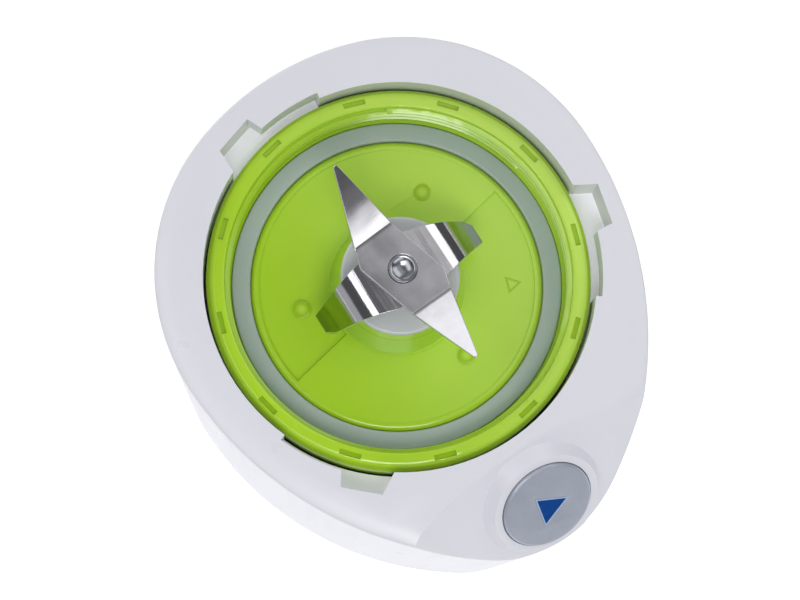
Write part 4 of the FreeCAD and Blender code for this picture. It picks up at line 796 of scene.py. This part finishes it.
# ---------------------------------------------------------------------------
# Safety pin. A slim plunger stands in the closed end of one lug channel: the bottle's
# lug pushes it down on a snap switch under the deck, so the motor can't start without
# the bottle. A fine spring lifts it again.
# ---------------------------------------------------------------------------
refined("interlock_plunger", "safety_pin", "interlock", black_nylon, 0.15)
refined("interlock_cap", "pin_guide", "base", black_nylon, 0.2)
refined("interlock_switch", "snap_switch", "base", black_nylon, 0.35)

PIN_SPOT = (36.5, -26.1)
pin_low, pin_high, pin_travel = 91.6, 103.25, 1.5
pin_length = pin_high - pin_low
pin_coil = add_piece("pin_spring", coiled("pin_spring", 1.75, 0.2, pin_length, 7, (0, 0, 1),
                                          (*PIN_SPOT, pin_low)),
                     "base", spring_wire, ["interlock_spring"])
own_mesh(pin_coil)

# ---------------------------------------------------------------------------
# Blade holder. A bright green translucent moulding that screws on the bottle's neck:
# a ring with twelve key notches, a threaded wall, a floor of two shallow ramps with
# three round bosses, and the central hub that carries the blades' bearing.
# ---------------------------------------------------------------------------
FLOOR_LEVEL, FLOOR_EDGE = 103.1, 31.5
NOTCH_FLOOR = 112.9
BOSS_REACH, BOSS_RADIUS, CROWN_RADIUS = 21.2, 1.72, 0.9
BOSS_ANGLES = (41.5, 161.0, -78.5)
MARK_SPOT = Vector((21.1, -13.2))
MARK_INNER, MARK_OUTER, MARK_TURN = 0.72, 1.05, 40


def lime_plastic(name):
    """Tinted gloss plastic; its bosses and its one small mark are drawn in the surface, with
    painted shade, highlight and sheen on it.
    """
    # deep is the darker green of the painted shade and of the mark; pale is the painted highlight
    # on the bosses, and the last green is the painted sheen.
    full, deep = (0.45, 0.72, 0.03), (0.34, 0.55, 0.0)
    pale, sheen_green = (0.55, 0.80, 0.08), (0.58, 0.83, 0.13)
    finish = Finish(name, full, ior=1.5, subsurface_weight=0.12, subsurface_scale=0.003,
                    subsurface_radius=(0.5, 1.0, 0.08))
    clouds = finish.noise(30.0, 2.0).step(0.5, 0.5)
    tint = finish.mix(clouds, tuple(part * 0.95 for part in full), full)
    # Painted sheen: the moulding is paler and milkier on its +X side, standing in for the gloss
    # reflection of the lights there.
    painted_sheen_side = finish.axes()[0].step(10.0 * MM, 64.0 * MM)
    tint = finish.mix(painted_sheen_side, tint, sheen_green)
    raised = None
    for angle in BOSS_ANGLES:
        spot = (BOSS_REACH * math.cos(math.radians(angle)) * MM,
                BOSS_REACH * math.sin(math.radians(angle)) * MM, 0.0)
        reach = finish.reach(spot)
        boss = 1.0 - reach.step(BOSS_RADIUS * MM, 0.5 * MM)
        painted_crown_highlight = 1.0 - reach.step(CROWN_RADIUS * MM, CROWN_RADIUS * MM)
        # Painted light on each boss: deeper green over its rounded edge, where the sheen is lost,
        # and a painted highlight on its crown.
        tint = finish.mix(boss * 0.85, tint, deep)
        tint = finish.mix(painted_crown_highlight * 0.8, tint, pale)
        raised = boss if raised is None else raised + boss
    across, along, _ = finish.axes(centre=(*(MARK_SPOT * MM), 0.0))
    farthest = None
    for corner in range(3):
        side = math.radians(MARK_TURN + 120 * corner)
        reach = across * math.cos(side) + along * math.sin(side)
        farthest = reach if farthest is None else reach.math("MAXIMUM", reach, farthest)
    mark = farthest.step(MARK_INNER * MM, 0.1 * MM) - farthest.step(MARK_OUTER * MM, 0.1 * MM)
    tint = finish.mix(mark.clamped() * 0.5, tint, deep)
    # Painted shade: a deeper green band over the floor's rounded outer edge, and on the floors of
    # the ring's notches.
    out, level = finish.reach(), finish.axes()[2]
    painted_rim_shade = out.step((FLOOR_EDGE - 1.0) * MM, 0.3 * MM)
    painted_rim_shade = painted_rim_shade - out.step((FLOOR_EDGE + 5.0) * MM, 0.3 * MM)
    painted_notch_shade = level.step((NOTCH_FLOOR - 0.3) * MM, 0.1 * MM)
    painted_notch_shade = painted_notch_shade - level.step((NOTCH_FLOOR + 0.4) * MM, 0.1 * MM)
    tint = finish.mix((painted_rim_shade * 0.35 + painted_notch_shade * 0.7).clamped(), tint, deep)
    smudge = finish.noise(90.0, 4.0, 0.6)
    finish.set(base_color=tint, roughness=(smudge * 0.1 + 0.1).clamped())
    waves = finish.noise(40.0, 2.0) * 0.06 + finish.noise(1800.0, 2.0) * 0.0015
    finish.bump(waves + raised * 0.25 + mark.clamped() * 0.12, 1.0 * MM)
    return finish.material


def eased_rims(shell):
    """Round the floor's outer edge more than the other edges."""
    rims = []
    for edge in shell.edges:
        middle = (edge.verts[0].co + edge.verts[1].co) / 2
        reach = math.hypot(middle.x, middle.y) / MM
        if abs(middle.z / MM - FLOOR_LEVEL) < 0.05 and abs(reach - FLOOR_EDGE) < 0.3:
            if edge.calc_face_angle(0.0) > math.radians(60):
                rims.append(edge)
    bmesh.ops.bevel(shell, geom=rims, offset=1.1 * MM, offset_type="OFFSET", segments=5,
                    profile=0.5, affect="EDGES")


lime = lime_plastic("lime_plastic")
refined("blade_holder", "lime_holder", "holder", lime, 0.3, 3,
        shape=eased_rims)

# ---------------------------------------------------------------------------
# Holder inserts. A translucent silicone ring in a groove of the floor seals the bottle's
# rim; a grey disc caps the hub over the lip seal; a bronze bush runs down inside it.
# ---------------------------------------------------------------------------
silicone = moulded("clear_silicone", (0.46, 0.54, 0.52), 0.42, 0.006, 0.95, ior=1.41,
                   subsurface_weight=0.35, subsurface_scale=0.002)
refined("jar_gasket", "seal_ring", "holder", silicone, 0.2)
hub_grey = moulded("hub_grey", (0.68, 0.71, 0.72), 0.3, 0.005, 0.94, metallic=0.1)
refined("hub_cap", "hub_disc", "holder", hub_grey, 0.15)
refined("bearing_bush", "hub_bush", "holder", bronze, 0.2)
refined("shaft_seal", "lip_seal", "holder", soft_black, 0.2)

# ---------------------------------------------------------------------------
# Blades. Two pieces of stamped stainless sheet on one spindle: the long one bends up to
# two sharp tips, the broad one bends down to two stubby wings. The spindle's end is
# peened over them and leaves a dimple.
# ---------------------------------------------------------------------------


def stamped(name, colour, roughness, turn, flat, curl, ripple):
    """Stamped stainless sheet: faint waves, a gritty grain, and wings that curl slightly.

    turn is the blade's own direction in degrees; beyond flat, in mm, each wing curls by
    curl per mm, and ripple is the depth of the rolling marks that run across it.
    """
    finish = Finish(name, colour, metallic=1.0)
    along, across, _ = finish.axes(turn=(0.0, 0.0, math.radians(-turn)))
    far = along.math("ABSOLUTE", along) / MM - flat
    wing = far.math("MAXIMUM", far, 0.0)
    curled = (wing * wing * 0.5 - wing * 7.5) * curl
    rolled = finish.noise(1.0, 2.0, 0.5, finish.place(
        scale=(420.0, 12.0, 12.0), turn=(0.0, 0.0, math.radians(-turn)))) * ripple
    waves = finish.noise(55.0, 2.0) * 0.36
    grit = finish.noise(3200.0, 3.0, 0.7)
    cloud = finish.noise(150.0, 3.0, 0.6)
    finish.set(base_color=finish.mix((cloud.step(0.55, 0.3) * grit * 0.5).clamped(), colour,
                                     tuple(part * 0.6 for part in colour)),
               roughness=(grit * 0.1 + cloud * 0.06 + (roughness - 0.08)).clamped())
    finish.bump(curled + waves + rolled + grit * 0.005, 1.0 * MM)
    return finish.material


upper_steel = stamped("upper_steel", (0.66, 0.65, 0.68), 0.16, 92.8, 9.5, 0.012, 0.0)
lower_steel = stamped("lower_steel", (0.66, 0.65, 0.67), 0.1, -1.4, 13.5, 0.0, 0.03)
refined("upper_blade", "long_blade", "blades", upper_steel, 0.22)
refined("lower_blade", "broad_blade", "blades", lower_steel, 0.12)
peened_steel = ground("peened_steel", (0.36, 0.37, 0.40), 0.22)
refined("blade_spindle", "spindle", "blades", peened_steel, 0.2)
refined("blade_spacer", "spindle_collar", "blades", peened_steel, 0.15)
refined("thrust_washer", "washer", "blades", shaft_steel, 0.1)
refined("driven_coupler", "upper_coupler", "blades", black_nylon, 0.4, 3)

# ---------------------------------------------------------------------------
# Table, light and camera. A pale table top under broad soft lights, and a long lens that
# looks almost straight down on the well.
# ---------------------------------------------------------------------------
table_half = 1.5
table_mesh = bpy.data.meshes.new("table_top")
table_mesh.from_pydata([(-table_half, -table_half, 0), (table_half, -table_half, 0),
                        (table_half, table_half, 0), (-table_half, table_half, 0)],
                       [], [(0, 1, 2, 3)])
table = bpy.data.objects.new("table_top", table_mesh)
bpy.context.scene.collection.objects.link(table)
table_finish = Finish("pale_table", (0.95, 0.95, 0.95), roughness=0.8,
                      emission_color=(1.0, 1.0, 1.0), emission_strength=0.45)
table_mesh.materials.append(table_finish.material)


def soft_light(name, place, width, height, watts):
    """A rectangular soft box aimed at the rim of the well."""
    lamp = bpy.data.lights.new(name, "AREA")
    lamp.shape = "RECTANGLE"
    lamp.size = width
    lamp.size_y = height
    lamp.energy = watts
    stand = bpy.data.objects.new(name, lamp)
    bpy.context.scene.collection.objects.link(stand)
    stand.location = place
    aim = Vector((0, 0, 0.11)) - Vector(place)
    stand.rotation_euler = aim.to_track_quat("-Z", "Y").to_euler()


soft_light("back_box", (0.0, 1.05, 0.36), 1.5, 0.5, 2.3)
soft_light("front_box", (0.0, -0.76, 0.70), 1.0, 0.24, 1.3)
soft_light("left_box", (-0.40, 0.08, 0.864), 0.9, 0.3, 1.6)
soft_light("right_box", (0.62, 0.05, 0.71), 0.9, 0.42, 1.8)
soft_light("dim_box", (0.28, 0.05, 0.88), 0.9, 0.38, 0.5)
soft_light("top_box", (-0.19, -0.30, 0.90), 0.3, 0.24, 1.9)

studio = bpy.data.worlds.new("studio")
studio.use_nodes = True
bpy.context.scene.world = studio
room = Graph(studio.node_tree)
towards = room.add("ShaderNodeSeparateXYZ", None, {
    0: room.add("ShaderNodeTexCoord").outputs["Generated"]})
aside, ahead, height = (Wire(room, socket) for socket in towards.outputs)
# The room is dim, a little lighter overhead, and pale low down at the left and in front.
overhead = height.step(0.88, 0.2) * 0.06
low_left = (1.0 - height.step(0.34, 0.1)) * (1.0 - aside.step(-0.45, 0.4)) * 0.4
low_front = (1.0 - height.step(0.14, 0.1)) * (1.0 - ahead.step(-0.5, 0.3)) * 0.55
glow = overhead + low_left + low_front + ahead.step(0.6, 0.4) * 0.3 + 0.1
background = studio.node_tree.nodes["Background"]
room.feed(background.inputs["Strength"], glow)
room.feed(background.inputs["Color"], (0.94, 0.96, 1.0))

target = Vector((-2.27, -3.77, 112.0)) * MM
lean = math.radians(8.5)
away = Vector((-0.80 * math.sin(lean), -0.61 * math.sin(lean), math.cos(lean))).normalized()
distance = 0.625
eye = target + away * distance
right = Vector((0.552, 0.834, 0.0)).cross(away).normalized()
upwards = away.cross(right)
lens = bpy.data.cameras.new("camera")
lens.sensor_width = 36.0
lens.lens = 132.5
lens.clip_end = 10.0
camera = bpy.data.objects.new("camera", lens)
bpy.context.scene.collection.objects.link(camera)
camera.matrix_world = Matrix((
    (right.x, upwards.x, away.x, eye.x),
    (right.y, upwards.y, away.y, eye.y),
    (right.z, upwards.z, away.z, eye.z),
    (0.0, 0.0, 0.0, 1.0)))
bpy.context.scene.camera = camera
bpy.context.scene.view_settings.view_transform = "Standard"
